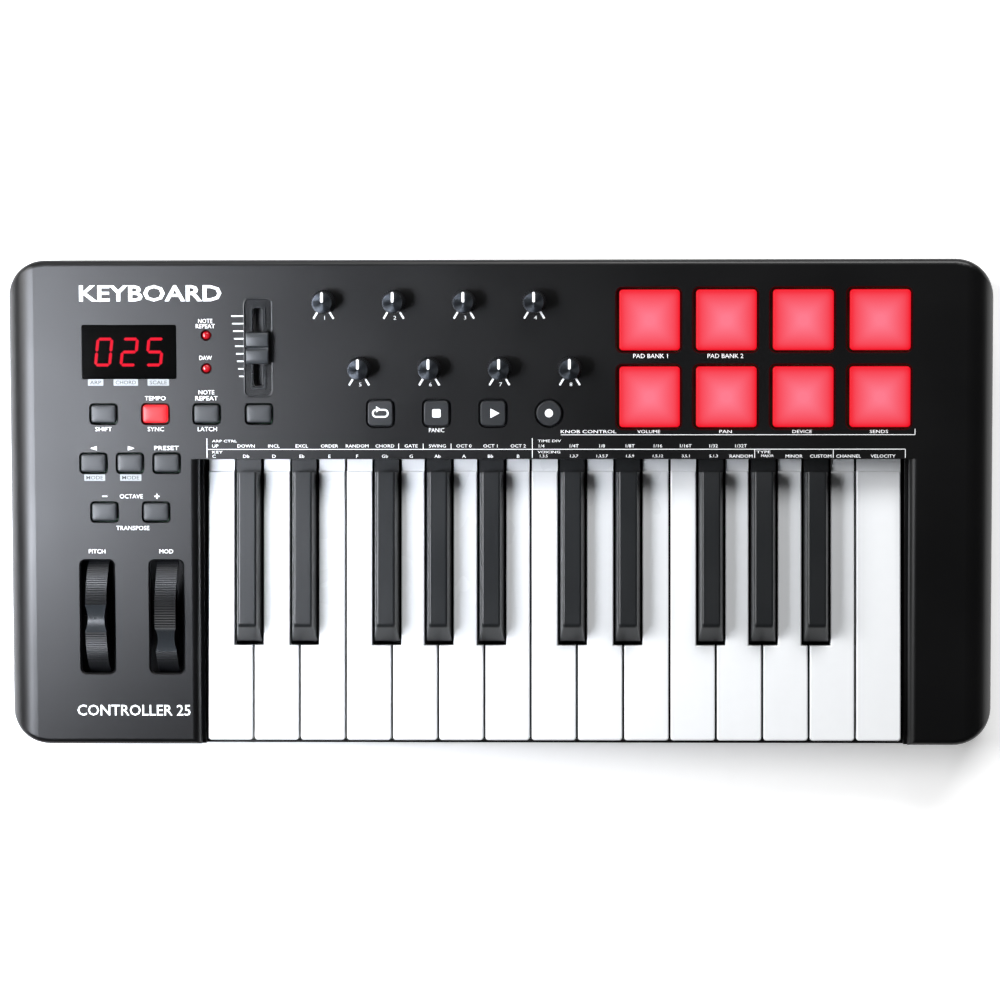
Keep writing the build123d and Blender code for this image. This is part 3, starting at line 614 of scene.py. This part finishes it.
HEADINGS = (("ARP CTRL", -138.7, -91.6, 12.6), ("KEY", -142.3, -97.2, 5.3), ("TIME DIV", 25.5, -91.6, 11.7),
            ("VOICING", 25.2, -97.2, 11.3), ("TYPE", 133.2, -97.2, 7.0))
KNOB_CONTROL = (("KNOB CONTROL", 45.2, 28.0), ("VOLUME", 75.5, 11.5), ("PAN", 114.1, 6.3), ("DEVICE", 152.6, 9.8),
                ("SENDS", 191.1, 9.2))
TABLE_LEFT, TABLE_RIGHT = -147.6, 204.4
TABLE_TOP, TABLE_LINE, TABLE_FOOT = -90.2, -95.8, -100.2
UPPER_WORDS, LOWER_WORDS = -94.1, -99.3
CONTROL_LEFT, CONTROL_RIGHT = 31.2, 209.2
CONTROL_TOP, CONTROL_WORDS, CONTROL_LINE = -85.6, -86.9, -88.5


def rule(width, left, right, v):
    return plate(right - left, width, (left + right) / 2, v)


def bar(width, u, top, foot):
    return plate(width, top - foot, u, (top + foot) / 2)


def table_lines(width):
    """The ruled lines of the key table, and the line under the knob functions."""
    lines = [rule(width, TABLE_LEFT, TABLE_RIGHT, TABLE_LINE)]
    lines.append(rule(width, CONTROL_LEFT, CONTROL_RIGHT, CONTROL_LINE))
    lines += [bar(width, u, TABLE_TOP, TABLE_FOOT) for u in (TABLE_LEFT, key_column(13) - 5.9)]
    lines += [bar(width, key_column(n) - gap, -92.9, TABLE_LINE) for n, gap in ((8, 6.3), (9, 7.2), (10, 6.5))]
    lines += [bar(width, u, TABLE_LINE, TABLE_FOOT)
              for u in (key_column(21) - 4.7, key_column(23) + 8.0, TABLE_RIGHT)]
    return lines + [bar(width, CONTROL_RIGHT, CONTROL_TOP, CONTROL_LINE)]


def table_words(height):
    """The key table's words. Some stand a little beside the middle of their key."""
    aside = {n: 1.2 if n < 20 else 1.7 for n in range(14, 25)} | {25: 5.0}
    upper, lower = aside | {1: -1.6, 13: -1.2}, aside | {1: -2.3, 13: -0.1}
    found = [words(body, key_column(n) + upper.get(n, 0), UPPER_WORDS, height)
             for n, body in enumerate(UPPER_ROW, 1)]
    found += [words(body, key_column(n) + lower.get(n, 0), LOWER_WORDS, height)
              for n, body in enumerate(LOWER_ROW, 1)]
    found += [words(body, u, v, height * 0.78, width) for body, u, v, width in HEADINGS]
    return found + [words(body, u, CONTROL_WORDS, height, width) for body, u, width in KNOB_CONTROL]


TICK_SIZE, TICK_DISTANCE, TICK_ANGLE = (1.0, 4.0), 7.9, radians(31)
NUMBER_DROP, NUMBER_HEIGHT = 8.0, 1.9


def knob_marks():
    """Two end ticks and a number under each knob."""
    marks = []
    for index in range(8):
        knob = joint_place(f"knob_{index + 1}_turn")
        for side in (-1, 1):
            tick = plate(*TICK_SIZE, 0, -TICK_DISTANCE, 0.35)
            marks.append(apply_matrix(tick, Matrix.Translation((knob.x, knob.y, 0))
                                      @ Matrix.Rotation(side * TICK_ANGLE, 4, "Z")))
        marks.append(words(str(index + 1), knob.x + 0.6, knob.y - NUMBER_DROP, NUMBER_HEIGHT))
    return marks


SCALE_STEPS = 8
SCALE_RIGHT, SCALE_TOP, SCALE_FOOT = -7.2, 16.0, -14.4      # from the fader's middle
LONGEST_LINE, SHORTEST_LINE = 6.3, 2.5


def fader_scale():
    """Nine lines that shorten towards the player."""
    fader = place("fader_cap")
    lines = []
    for step in range(SCALE_STEPS + 1):
        share = step / SCALE_STEPS
        long = LONGEST_LINE + (SHORTEST_LINE - LONGEST_LINE) * share
        v = fader.y + SCALE_TOP + (SCALE_FOOT - SCALE_TOP) * share
        lines.append(plate(long, 0.65, fader.x + SCALE_RIGHT - long / 2, v, 0.15))
    return lines


def triangle(u, v, direction, width, height):
    """A filled triangle pointing left (1) or right (-1)."""
    piece = added(bpy.ops.mesh.primitive_circle_add, vertices=3, radius=1, fill_type="NGON")
    apply_matrix(piece, Matrix.Rotation(direction * pi / 2, 4, "Z"))
    apply_matrix(piece, Matrix.Diagonal((width / 1.5, height / 1.732, 1, 1)))
    return apply_matrix(piece, Matrix.Translation((u, v, 0)))


class KEYBOARD_OT_printing(bpy.types.Operator):
    """Prints the panel's labels, scales and key table"""
    bl_idname = "keyboard.printing"
    bl_label = "Panel printing"

    def execute(self, context):
        lift = mm("print_lift")
        pieces = [words(body, u, v, mm("label_height"), width) for body, u, v, width in LABELS]
        pieces += [triangle(u, v, direction, 3.4, 2.2) for u, v, direction in ARROWS]
        pieces += [plate(SIGN_LENGTH, SIGN_WIDTH, *place_at) for place_at in (MINUS, PLUS)]
        pieces.append(plate(SIGN_WIDTH, SIGN_LENGTH, *PLUS))
        pieces += knob_marks() + fader_scale()
        pieces += table_lines(mm("line_width")) + table_words(mm("table_height"))
        pieces += [words(*TITLE, from_left=True), words(*SUBTITLE, from_left=True)]
        # The printing's white ink glows a little: painted light, no lamp.
        on_panel(pieces, "panel_printing", lift, self_lit_screen_ink())
        boxes = [plate(width - 0.3, 3.3, u, v, 0.3) for _, u, v, width in BOXES]
        on_panel(boxes, "label_boxes", lift, box_ink())
        inlay = [words(body, u, v, 1.9, width - 2.4, 0.004) for body, u, v, width in BOXES]
        on_panel(inlay, "box_lettering", lift * 2, dark_ink())
        return {"FINISHED"}


# ---------------------------------------------------------------- display

SEGMENTS = {"a": (0, 1, 0), "g": (0, 0, 0), "d": (0, -1, 0), "b": (1, 0.5, 1), "c": (1, -0.5, 1),
            "f": (-1, 0.5, 1), "e": (-1, -0.5, 1)}
DIGITS = {"0": "abcdef", "1": "bc", "2": "abged", "3": "abgcd", "4": "fgbc", "5": "afgcd", "6": "afgedc",
          "7": "abc", "8": "abcdefg", "9": "abfgcd"}


SEGMENT_WIDTH = 1.5
SEGMENT_GAP = 0.35
DIGIT_HALF_WIDTH = 3.55
WINDOW_FACE = -0.1          # the window's face is sunk this far below the panel
DIGIT_LIFT = 0.02


def segment(long, matrix):
    """A bar with bevelled ends."""
    piece = plate(long, SEGMENT_WIDTH, 0, 0)
    select(piece, "vertices", everything)
    bpy.ops.mesh.bevel(offset=SEGMENT_WIDTH * 0.45, segments=1, affect="VERTICES")
    leave()
    return apply_matrix(piece, matrix)


class KEYBOARD_OT_digits(bpy.types.Operator):
    """Makes the three seven-segment digits, a hair above the window's face"""
    bl_idname = "keyboard.digits"
    bl_label = "Display digits"

    def execute(self, context):
        half_high = (mm("digit_height") - SEGMENT_WIDTH) / 2
        lean = Matrix.Identity(4)
        lean[0][1] = sin(context.scene.keyboard_sizes.digit_slant)
        window = place("display_window")
        pieces = []
        for index, figure in enumerate(context.scene.keyboard_sizes.reading):
            middle = window.x + (index - 1) * mm("digit_pitch") + 0.1
            for letter in DIGITS[figure]:
                across, up, upright = SEGMENTS[letter]
                long = (half_high if upright else 2 * DIGIT_HALF_WIDTH) - SEGMENT_GAP
                shift = Matrix.Translation((across * DIGIT_HALF_WIDTH, up * half_high, 0))
                piece = segment(long, shift @ Matrix.Rotation(upright * pi / 2, 4, "Z"))
                piece.data.transform(Matrix.Translation((middle, window.y, 0)) @ lean)
                pieces.append(piece)
        on_panel(pieces, "display_digits", WINDOW_FACE + DIGIT_LIFT, lit_segment())
        return {"FINISHED"}


# ---------------------------------------------------------------- pads

def across_map(piece, width):
    """A UV map that runs from 0 to 1 across the piece, seen from above."""
    layer = piece.data.uv_layers.new(name="across")
    for loop in piece.data.loops:
        co = piece.data.vertices[loop.vertex_index].co
        layer.data[loop.index].uv = (co.x / width + 0.5, co.y / width + 0.5)


PAD_PITCH, PAD_PITCH_UP = 38.53, 38.7
PAD_MIDDLE = -50.05
PAD_SINK = 2.1


class KEYBOARD_OT_pads(bpy.types.Operator):
    """Makes the eight lit pads, softly domed with rounded edges"""
    bl_idname = "keyboard.pads"
    bl_label = "Pads"

    def execute(self, context):
        side, crown = mm("pad_size"), mm("pad_dome") / 5
        pad = plate(side, side, 0, 0, 1.7)
        raised(pad, 2.9)
        rounded(pad, ((0.15, 0.3), (0.4, 0.2), (0.6, 0.05)))
        domed(pad, [(share, crown) for share in (0.85, 0.8, 0.65, 0.4)])
        stemmed(pad, 1.5, 7.6)
        apply_matrix(pad, Matrix.Translation((0, 0, -PAD_SINK)))
        smoothed(outward(pad), radians(35))
        across_map(pad, side)
        pad.data.materials.append(lit_silicone())
        middle = place("pad_sheet").x + 0.7
        pads = []
        for row in (1, -1):
            for column in range(4):
                twin = copy_of(pad, f"pad_{len(pads) + 1}")
                u = middle + (column - 1.5) * PAD_PITCH
                apply_matrix(twin, PANEL @ Matrix.Translation((u, PAD_MIDDLE + row * PAD_PITCH_UP / 2, 0)))
                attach(twin, CASE)
                pads.append(twin)
        discard(pad)
        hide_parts("pad_sheet")
        return {"FINISHED"}


# ---------------------------------------------------------------- knobs

KNOB_RADIUS = 6.0
KNOB_BASE, KNOB_TOP = 0.5, 12.1


def around_map(piece):
    """A UV map whose u follows the angle about the piece's axis and whose v is the radius."""
    layer = piece.data.uv_layers.new(name="around")
    for face in piece.data.polygons:
        middle = atan2(face.center.y, face.center.x)
        for index in face.loop_indices:
            co = piece.data.vertices[piece.data.loops[index].vertex_index].co
            angle = atan2(co.y, co.x) if co.xy.length > 1e-4 else middle
            if angle - middle > pi:
                angle -= 2 * pi
            if middle - angle > pi:
                angle += 2 * pi
            layer.data[index].uv = (angle / (2 * pi) + 0.5, co.xy.length / KNOB_RADIUS)


def knob_model():
    """A fluted skirt, a rounded shoulder, a turned top and a white pointer."""
    flutes = bpy.context.scene.keyboard_sizes.knob_flutes
    body = added(bpy.ops.mesh.primitive_cylinder_add, vertices=flutes * 4, radius=KNOB_RADIUS,
                 depth=KNOB_TOP - KNOB_BASE, end_fill_type="TRIFAN")
    apply_matrix(body, Matrix.Translation((0, 0, (KNOB_TOP + KNOB_BASE) / 2)))
    near_top = KNOB_TOP - 0.1
    select(body, "vertices", lambda vertex: vertex.co.z > near_top)
    bpy.ops.transform.resize(value=(0.87, 0.87, 1))
    leave()
    select(body, "edges", lambda edge: all(p.z > near_top and p.xy.length > 5 for p in edge_ends(body, edge)))
    bpy.ops.mesh.bevel(offset=0.45, segments=3, affect="EDGES")
    leave()
    step = 2 * pi / flutes

    def in_flute(vertex):
        phase = (atan2(vertex.co.y, vertex.co.x) % step) / step
        return vertex.co.z < KNOB_TOP - 0.15 and vertex.co.xy.length > 5 and abs(phase - 0.5) < 0.15

    select(body, "edges", lambda edge: abs(edge_ends(body, edge)[0].z - edge_ends(body, edge)[1].z) > 5)
    bpy.ops.mesh.subdivide(number_cuts=1)
    leave()
    select(body, "vertices", in_flute)
    bpy.ops.transform.resize(value=(0.945, 0.945, 1), center_override=(0, 0, 0))
    leave()
    smoothed(outward(body), radians(25))
    around_map(body)
    body.data.materials.append(knob_abs())
    body.data.materials.append(turned_top())
    for face in body.data.polygons:
        face.material_index = int(face.normal.z > 0.95 and face.center.z > near_top)
    pointer = plate(1.35, 5.2, 0, 2.75, 0.6)
    modified(pointer, "SOLIDIFY", thickness=0.22, offset=1)
    apply_matrix(pointer, Matrix.Translation((0, 0, KNOB_TOP - 0.09)))
    # The pointer's white ink glows a little too: painted light, no lamp.
    pointer.data.materials.append(self_lit_screen_ink())
    return body, pointer


class KEYBOARD_OT_knobs(bpy.types.Operator):
    """Makes the eight fluted knobs with their white pointers"""
    bl_idname = "keyboard.knobs"
    bl_label = "Knobs"

    def execute(self, context):
        cap, pointer = knob_model()
        for index in range(8):
            name = f"knob_{index + 1}"
            where = joint_place(name + "_turn")
            matrix = PANEL @ Matrix.Translation((where.x, where.y, 0))
            top = apply_matrix(copy_of(cap, name + "_cap"), matrix)
            line = apply_matrix(copy_of(pointer, name + "_pointer"), matrix)
            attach(top, name)
            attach(line, name)
            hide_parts(name)
        discard(cap)
        discard(pointer)
        return {"FINISHED"}


# ---------------------------------------------------------------- wheels

WHEEL_RADIUS, WHEEL_WIDTH = 31.0, 10.6
NOTCH_RADIUS, NOTCH_CENTRE = 17.7, 46.2
FLAT_SIDE = radians(2)      # the wheel's lower part is cut off this far above its axle's level, each side


class KEYBOARD_OT_wheels(bpy.types.Operator):
    """Makes the pitch and modulation wheels with ribbed treads and smooth finger notches"""
    bl_idname = "keyboard.wheels"
    bl_label = "Wheels"

    def execute(self, context):
        ribs = round(2 * pi * WHEEL_RADIUS / mm("rib_pitch"))
        wheel = added(bpy.ops.mesh.primitive_cylinder_add, vertices=ribs * 2, radius=WHEEL_RADIUS,
                      depth=WHEEL_WIDTH)
        apply_matrix(wheel, Matrix.Rotation(pi / 2, 4, "Y"))
        step = 2 * pi / ribs
        select(wheel, "polygons", lambda face: abs(face.normal.x) > 0.9)
        bpy.ops.mesh.inset(thickness=0.7)
        leave()
        select(wheel, "vertices", lambda vertex: vertex.co.yz.length > WHEEL_RADIUS - 0.1
               and abs((atan2(vertex.co.y, vertex.co.z) % step) / step - 0.5) < 0.25)
        bpy.ops.transform.resize(value=(1, 0.987, 0.987), center_override=(0, 0, 0))
        leave()
        select(wheel, "polygons", lambda face: abs(face.normal.x) > 0.9 and face.center.yz.length < 1)
        bpy.ops.mesh.inset(thickness=3.4)
        bpy.ops.transform.resize(value=(0.6, 1, 1), center_override=(0, 0, 0))
        leave()
        cutter = added(bpy.ops.mesh.primitive_cylinder_add, vertices=96, radius=NOTCH_RADIUS, depth=14)
        apply_matrix(cutter, Matrix.Translation((0, 0, NOTCH_CENTRE)) @ Matrix.Rotation(pi / 2, 4, "Y"))
        modified(wheel, "BOOLEAN", operation="DIFFERENCE", object=cutter, solver="EXACT")
        discard(cutter)
        for side in (-1, 1):
            select(wheel, "polygons", everything)
            bpy.ops.mesh.bisect(plane_co=(0, 0, 0), plane_no=(0, side * sin(FLAT_SIDE), cos(FLAT_SIDE)),
                                clear_inner=True, use_fill=True)
            leave()
        smoothed(wheel, radians(20))
        wheel.data.materials.append(ribbed_abs())
        wheel.data.materials.append(polished_black_abs_painted_highlight())
        # The notch faces take the lighter black: a painted highlight on the same plastic as the ribs.
        for face in wheel.data.polygons:
            from_centre = (face.center - Vector((face.center.x, 0, NOTCH_CENTRE))).length
            face.material_index = int(abs(from_centre - NOTCH_RADIUS) < 0.05)
        for name, turn in (("pitch_wheel", 0.0), ("mod_wheel", radians(21.5))):
            where = joint_place(name + "_turn")
            twin = copy_of(wheel, name + "_tread")
            apply_matrix(twin, PANEL @ Matrix.Translation(where) @ Matrix.Rotation(turn, 4, "X"))
            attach(twin, name)
            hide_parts(name)
        discard(wheel)
        return {"FINISHED"}


# ---------------------------------------------------------------- fader cap

def bead(width, height, corner, flat, rise):
    """A raised rounded rectangle of moulding, open in the middle."""
    ring = plate(width, height, 0, 0, corner)
    rounded(ring, ((0.3, rise), (flat, 0.0), (0.3, -rise)))
    select(ring, "polygons", top_face)
    bpy.ops.mesh.delete(type="FACE")
    leave()
    return ring


RECESS_FLOOR = 0.86
GRIP_SIZE = (11.4, 15.8, 5.8)
GRIP_MIDDLE = 4.1
GRIP_CUTS = (-5.6, -0.75, 0.75, 5.6)
STEM_SIZE = (1.2, 4.0, 7.0)


class KEYBOARD_OT_fader(bpy.types.Operator):
    """Makes the fader's cap, two rounded grips either side of a groove, and the beads round its recess"""
    bl_idname = "keyboard.fader"
    bl_label = "Fader cap"

    def execute(self, context):
        cap = added(bpy.ops.mesh.primitive_cube_add, size=1)
        apply_matrix(cap, Matrix.Translation((0, 0, GRIP_MIDDLE)) @ Matrix.Diagonal((*GRIP_SIZE, 1)))
        for across in GRIP_CUTS:
            select(cap, "polygons", everything)
            bpy.ops.mesh.bisect(plane_co=(0, across, 0), plane_no=(0, 1, 0))
            leave()
        select(cap, "vertices", lambda vertex: abs(vertex.co.y) > 7 and vertex.co.z > 6)
        bpy.ops.transform.translate(value=(0, 0, -0.5))
        leave()
        select(cap, "vertices", lambda vertex: 0.5 < abs(vertex.co.y) < 1 and vertex.co.z > 6)
        bpy.ops.transform.translate(value=(0, 0, -0.1))
        leave()
        select(cap, "polygons", lambda face: face.normal.z > 0.9 and abs(face.center.y) < 0.1)
        bpy.ops.mesh.extrude_region_move(TRANSFORM_OT_translate={"value": (0, 0, -1.3)})
        leave()
        select(cap, "edges", lambda edge: all(abs(p.y) > 7 and abs(p.x) > 5 for p in edge_ends(cap, edge))
               or all(abs(p.x) > 5 and p.z > 5 and abs(p.y) > 0.7 for p in edge_ends(cap, edge))
               or all(abs(p.y) > 7 and p.z > 5 for p in edge_ends(cap, edge)))
        bpy.ops.mesh.bevel(offset=0.9, segments=4, affect="EDGES", clamp_overlap=True)
        leave()
        smoothed(outward(cap), radians(35))
        cap.data.materials.append(grip_abs())
        stem = added(bpy.ops.mesh.primitive_cube_add, size=1)
        apply_matrix(stem, Matrix.Translation((0, 0, -2)) @ Matrix.Diagonal((*STEM_SIZE, 1)))
        modified(stem, "BEVEL", width=0.2, segments=2)
        stem.data.materials.append(nickel())
        where = place("fader_cap")
        inner = bead(8.0, 42.4, 1.55, 0.75, 0.5)
        apply_matrix(inner, Matrix.Translation((0, 0, -RECESS_FLOOR)))
        frame_piece = join([inner, bead(14.9, 49.9, 3.0, 0.1, 0.16)], "fader_frame")
        smoothed(frame_piece, radians(30))
        frame_piece.data.materials.append(bead_abs())
        for piece, name, body in ((frame_piece, "fader_frame", CASE), (cap, "fader_grip", "fader_cap"),
                                  (stem, "fader_stem", "fader_cap")):
            piece.name = piece.data.name = name
            apply_matrix(piece, PANEL @ Matrix.Translation((where.x, where.y, 0)))
            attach(piece, body)
        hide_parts("fader_cap")
        return {"FINISHED"}


# ---------------------------------------------------------------- button caps

BUTTON_SIZE = (12.5, 9.0)
BUTTON_TOP = 1.5


class KEYBOARD_OT_buttons(bpy.types.Operator):
    """Makes the nine rectangular button caps with softly pillowed tops"""
    bl_idname = "keyboard.buttons"
    bl_label = "Button caps"

    def execute(self, context):
        cap = plate(*BUTTON_SIZE, 0, 0, 1.5)
        raised(cap, 3.2)
        rounded(cap, ((0.1, 0.22), (0.25, 0.18), (0.45, 0.1)))
        domed(cap, ((0.82, 0.09), (0.75, 0.06), (0.6, 0.03), (0.3, 0.01)))
        stemmed(cap, 1.4, 5.5)
        smoothed(outward(cap), radians(35))
        top = max(vertex.co.z for vertex in cap.data.vertices)
        grey, lit = button_abs(), lit_cap()
        for name in [n for n in NODES if n.startswith("button_") and n not in SYMBOLS]:
            where = place(name)
            twin = copy_of(cap, name + "_cap")
            twin.data.materials.append(lit if name == "button_tempo" else grey)
            apply_matrix(twin, PANEL @ Matrix.Translation((where.x, where.y, BUTTON_TOP - top)))
            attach(twin, name)
            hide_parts(name)
        discard(cap)
        return {"FINISHED"}


# ---------------------------------------------------------------- symbols

def loop_symbol():
    """A flat rounded ring with an arrow head at its top left."""
    ring = plate(8.4, 4.4, 0, 0, 2.1)
    rounded(ring, ((0.85, 0.0),))
    select(ring, "polygons", top_face)
    bpy.ops.mesh.delete(type="FACE")
    leave()
    return join([ring, triangle(-1.3, 2.0, -1, 2.4, 3.2)], "loop")


def square_symbol():
    return plate(4.2, 4.2, 0, 0, 0.6)


def play_symbol():
    return triangle(0.3, 0, -1, 4.6, 4.8)


def record_symbol():
    return added(bpy.ops.mesh.primitive_circle_add, vertices=40, radius=2.05, fill_type="NGON")


SYMBOLS = {"button_loop": loop_symbol, "button_stop": square_symbol, "button_play": play_symbol,
           "button_record": record_symbol}


class KEYBOARD_OT_symbols(bpy.types.Operator):
    """Prints the white symbols on the transport buttons"""
    bl_idname = "keyboard.symbols"
    bl_label = "Transport symbols"

    def execute(self, context):
        # The symbols' white ink glows a little: painted light, no lamp.
        ink = self_lit_screen_ink()
        for button, make in SYMBOLS.items():
            where = place(button)
            symbol = make()
            apply_matrix(symbol, Matrix.Translation((where.x, where.y, 0)))
            on_panel([symbol], button + "_symbol", BUTTON_TOP + mm("print_lift"), ink, button)
        return {"FINISHED"}


# ---------------------------------------------------------------- finishes of the CAD nodes

CONTROL_BOARD_TOP = -9.95   # on the panel, in millimetres; the rest are heights and depths in metres
CONTACT_BOARD_TOP = 0.01265
SOCKETS_FRONT, SOCKETS_FOOT, SOCKETS_TOP = 0.0875, 0.0277, 0.045
USB_MOUTH = 0.1055


class KEYBOARD_OT_finishes(bpy.types.Operator):
    """Gives every moulded, metal and rubber part its finish"""
    bl_idname = "keyboard.finishes"
    bl_label = "Finishes"

    def execute(self, context):
        white, black = polished_white_abs(), satin_black_abs()
        case, inner, grey, dark = eroded_abs(), frame_abs(), button_abs(), transport_abs()
        board, rubber = solder_resist(), moulded_rubber()
        for name in NODES:
            if name.startswith("key_") and name[4:6].isdigit():
                paint(name, black if name.endswith("_sharp") else white)
            elif name.startswith("button_"):
                paint(name, dark if name in SYMBOLS else grey)
            elif name.startswith("knob_") or name.endswith("_wheel"):
                paint(name, inner)
        paint("top_case", case, recess_abs())
        paint("bottom_case", case)
        paint("key_chassis", inner)
        paint("key_springs", spring_steel())
        paint("case_screws", black_zinc())
        paint("rubber_feet", rubber)
        paint("display_window", smoked_acrylic())
        paint("pad_sheet", lit_silicone())
        paint("power_switch", grey)
        paint("fader_cap", grip_abs())
        paint("key_contact_board", board, rubber)
        paint("control_board", board, inner, lamp_epoxy(), nickel())
        fader = place("fader_cap")
        paint_where("top_case", 1, lambda local, world: -1.2 < local.z < -0.75 and abs(local.x - fader.x) < 7.4
                    and abs(local.y - fader.y) < 24.9)
        paint_where("key_contact_board", 1, lambda local, world: world.z > CONTACT_BOARD_TOP)
        paint_where("control_board", 1, lambda local, world: local.z > CONTROL_BOARD_TOP
                    or world.y > SOCKETS_FRONT and SOCKETS_FOOT < world.z < SOCKETS_TOP)
        paint_where("control_board", 2, lambda local, world: local.z > -8.9 and abs(local.x + 147.6) < 3
                    and -58 < local.y < -35)
        paint_where("control_board", 3, lambda local, world: world.y > USB_MOUTH and abs(world.x + 0.19) < 0.0065
                    and world.z > SOCKETS_FOOT)
        return {"FINISHED"}


# ---------------------------------------------------------------- stage

FLOOR_GAP = 0.0002          # metres under the feet, so that the two faces don't fight
CAMERA_PLACE, CAMERA_AIM = Vector((0.075, 0.0015, 2.233)), Vector((0.0, 0.0015, 0.033))
CAMERA_LENS, CAMERA_SENSOR = 156, 36


def area_light(name, place_at, aim, size, watts, tint=(1, 1, 1)):
    light = bpy.data.lights.new(name, "AREA")
    light.shape = "RECTANGLE"
    light.size, light.size_y = size
    light.energy = watts
    light.color = tint
    lamp = bpy.data.objects.new(name, light)
    lamp.location = place_at
    lamp.rotation_euler = (Vector(aim) - Vector(place_at)).to_track_quat("-Z", "Y").to_euler()
    bpy.context.collection.objects.link(lamp)
    return lamp


class KEYBOARD_OT_stage(bpy.types.Operator):
    """Sets the pale floor, the soft lights and the camera above"""
    bl_idname = "keyboard.stage"
    bl_label = "Stage"

    def execute(self, context):
        floor = added(bpy.ops.mesh.primitive_plane_add, size=12)
        floor.name = "floor"
        apply_matrix(floor, Matrix.Translation((0, 0, -FLOOR_GAP)))
        floor.data.materials.append(studio_paper())
        world = bpy.data.worlds.new("studio")
        world.use_nodes = True
        sky = world.node_tree.nodes["Background"].inputs
        sky["Color"].default_value = (1, 1, 1, 1)
        sky["Strength"].default_value = 0.06
        context.scene.world = world
        area_light("main_light", (-1.7, 0.5, 1.5), (0, 0, 0), (1.3, 1.3), 54)
        area_light("rear_light", (0.5, 1.7, 1.5), (0, 0, 0), (1.4, 0.8), 40)
        sheen = area_light("left_sheen", (-0.56, -0.12, 0.66), (-0.33, 0, 0.04), (0.2, 0.5), 1.45,
                           (0.87, 0.91, 1.0))
        sheen.data.spread = radians(52)
        camera = bpy.data.cameras.new("camera")
        camera.lens, camera.sensor_width = CAMERA_LENS, CAMERA_SENSOR
        eye = bpy.data.objects.new("camera", camera)
        eye.location = CAMERA_PLACE
        back = (CAMERA_PLACE - CAMERA_AIM).normalized()
        right = Vector((0, 1, 0)).cross(back).normalized()
        eye.rotation_euler = Matrix((right, back.cross(right), back)).transposed().to_euler()
        context.collection.objects.link(eye)
        context.scene.camera = eye
        context.scene.view_settings.view_transform = "Standard"
        return {"FINISHED"}


# ---------------------------------------------------------------- add-on

STEPS = (KEYBOARD_OT_finishes, KEYBOARD_OT_printing, KEYBOARD_OT_digits, KEYBOARD_OT_pads, KEYBOARD_OT_knobs,
         KEYBOARD_OT_wheels, KEYBOARD_OT_fader, KEYBOARD_OT_buttons, KEYBOARD_OT_symbols, KEYBOARD_OT_stage)


class KEYBOARD_PT_panel(bpy.types.Panel):
    """Lists the keyboard's settings and steps"""
    bl_label = "Midi keyboard"
    bl_idname = "KEYBOARD_PT_panel"
    bl_space_type = "VIEW_3D"
    bl_region_type = "UI"
    bl_category = "Keyboard"

    def draw(self, context):
        for group in (context.scene.keyboard_sizes, context.scene.keyboard_colours):
            for name in group.__annotations__:
                self.layout.prop(group, name)
        for step in STEPS:
            self.layout.operator(step.bl_idname)


CLASSES = (KeyboardSizes, KeyboardColours, *STEPS, KEYBOARD_PT_panel)


def register():
    for item in CLASSES:
        bpy.utils.register_class(item)
    bpy.types.Scene.keyboard_sizes = PointerProperty(type=KeyboardSizes)
    bpy.types.Scene.keyboard_colours = PointerProperty(type=KeyboardColours)


def unregister():
    del bpy.types.Scene.keyboard_colours
    del bpy.types.Scene.keyboard_sizes
    for item in reversed(CLASSES):
        bpy.utils.unregister_class(item)


def main():
    register()
    for step in STEPS:
        group, name = step.bl_idname.split(".")
        getattr(getattr(bpy.ops, group), name)()


if __name__ == "__main__":
    main()
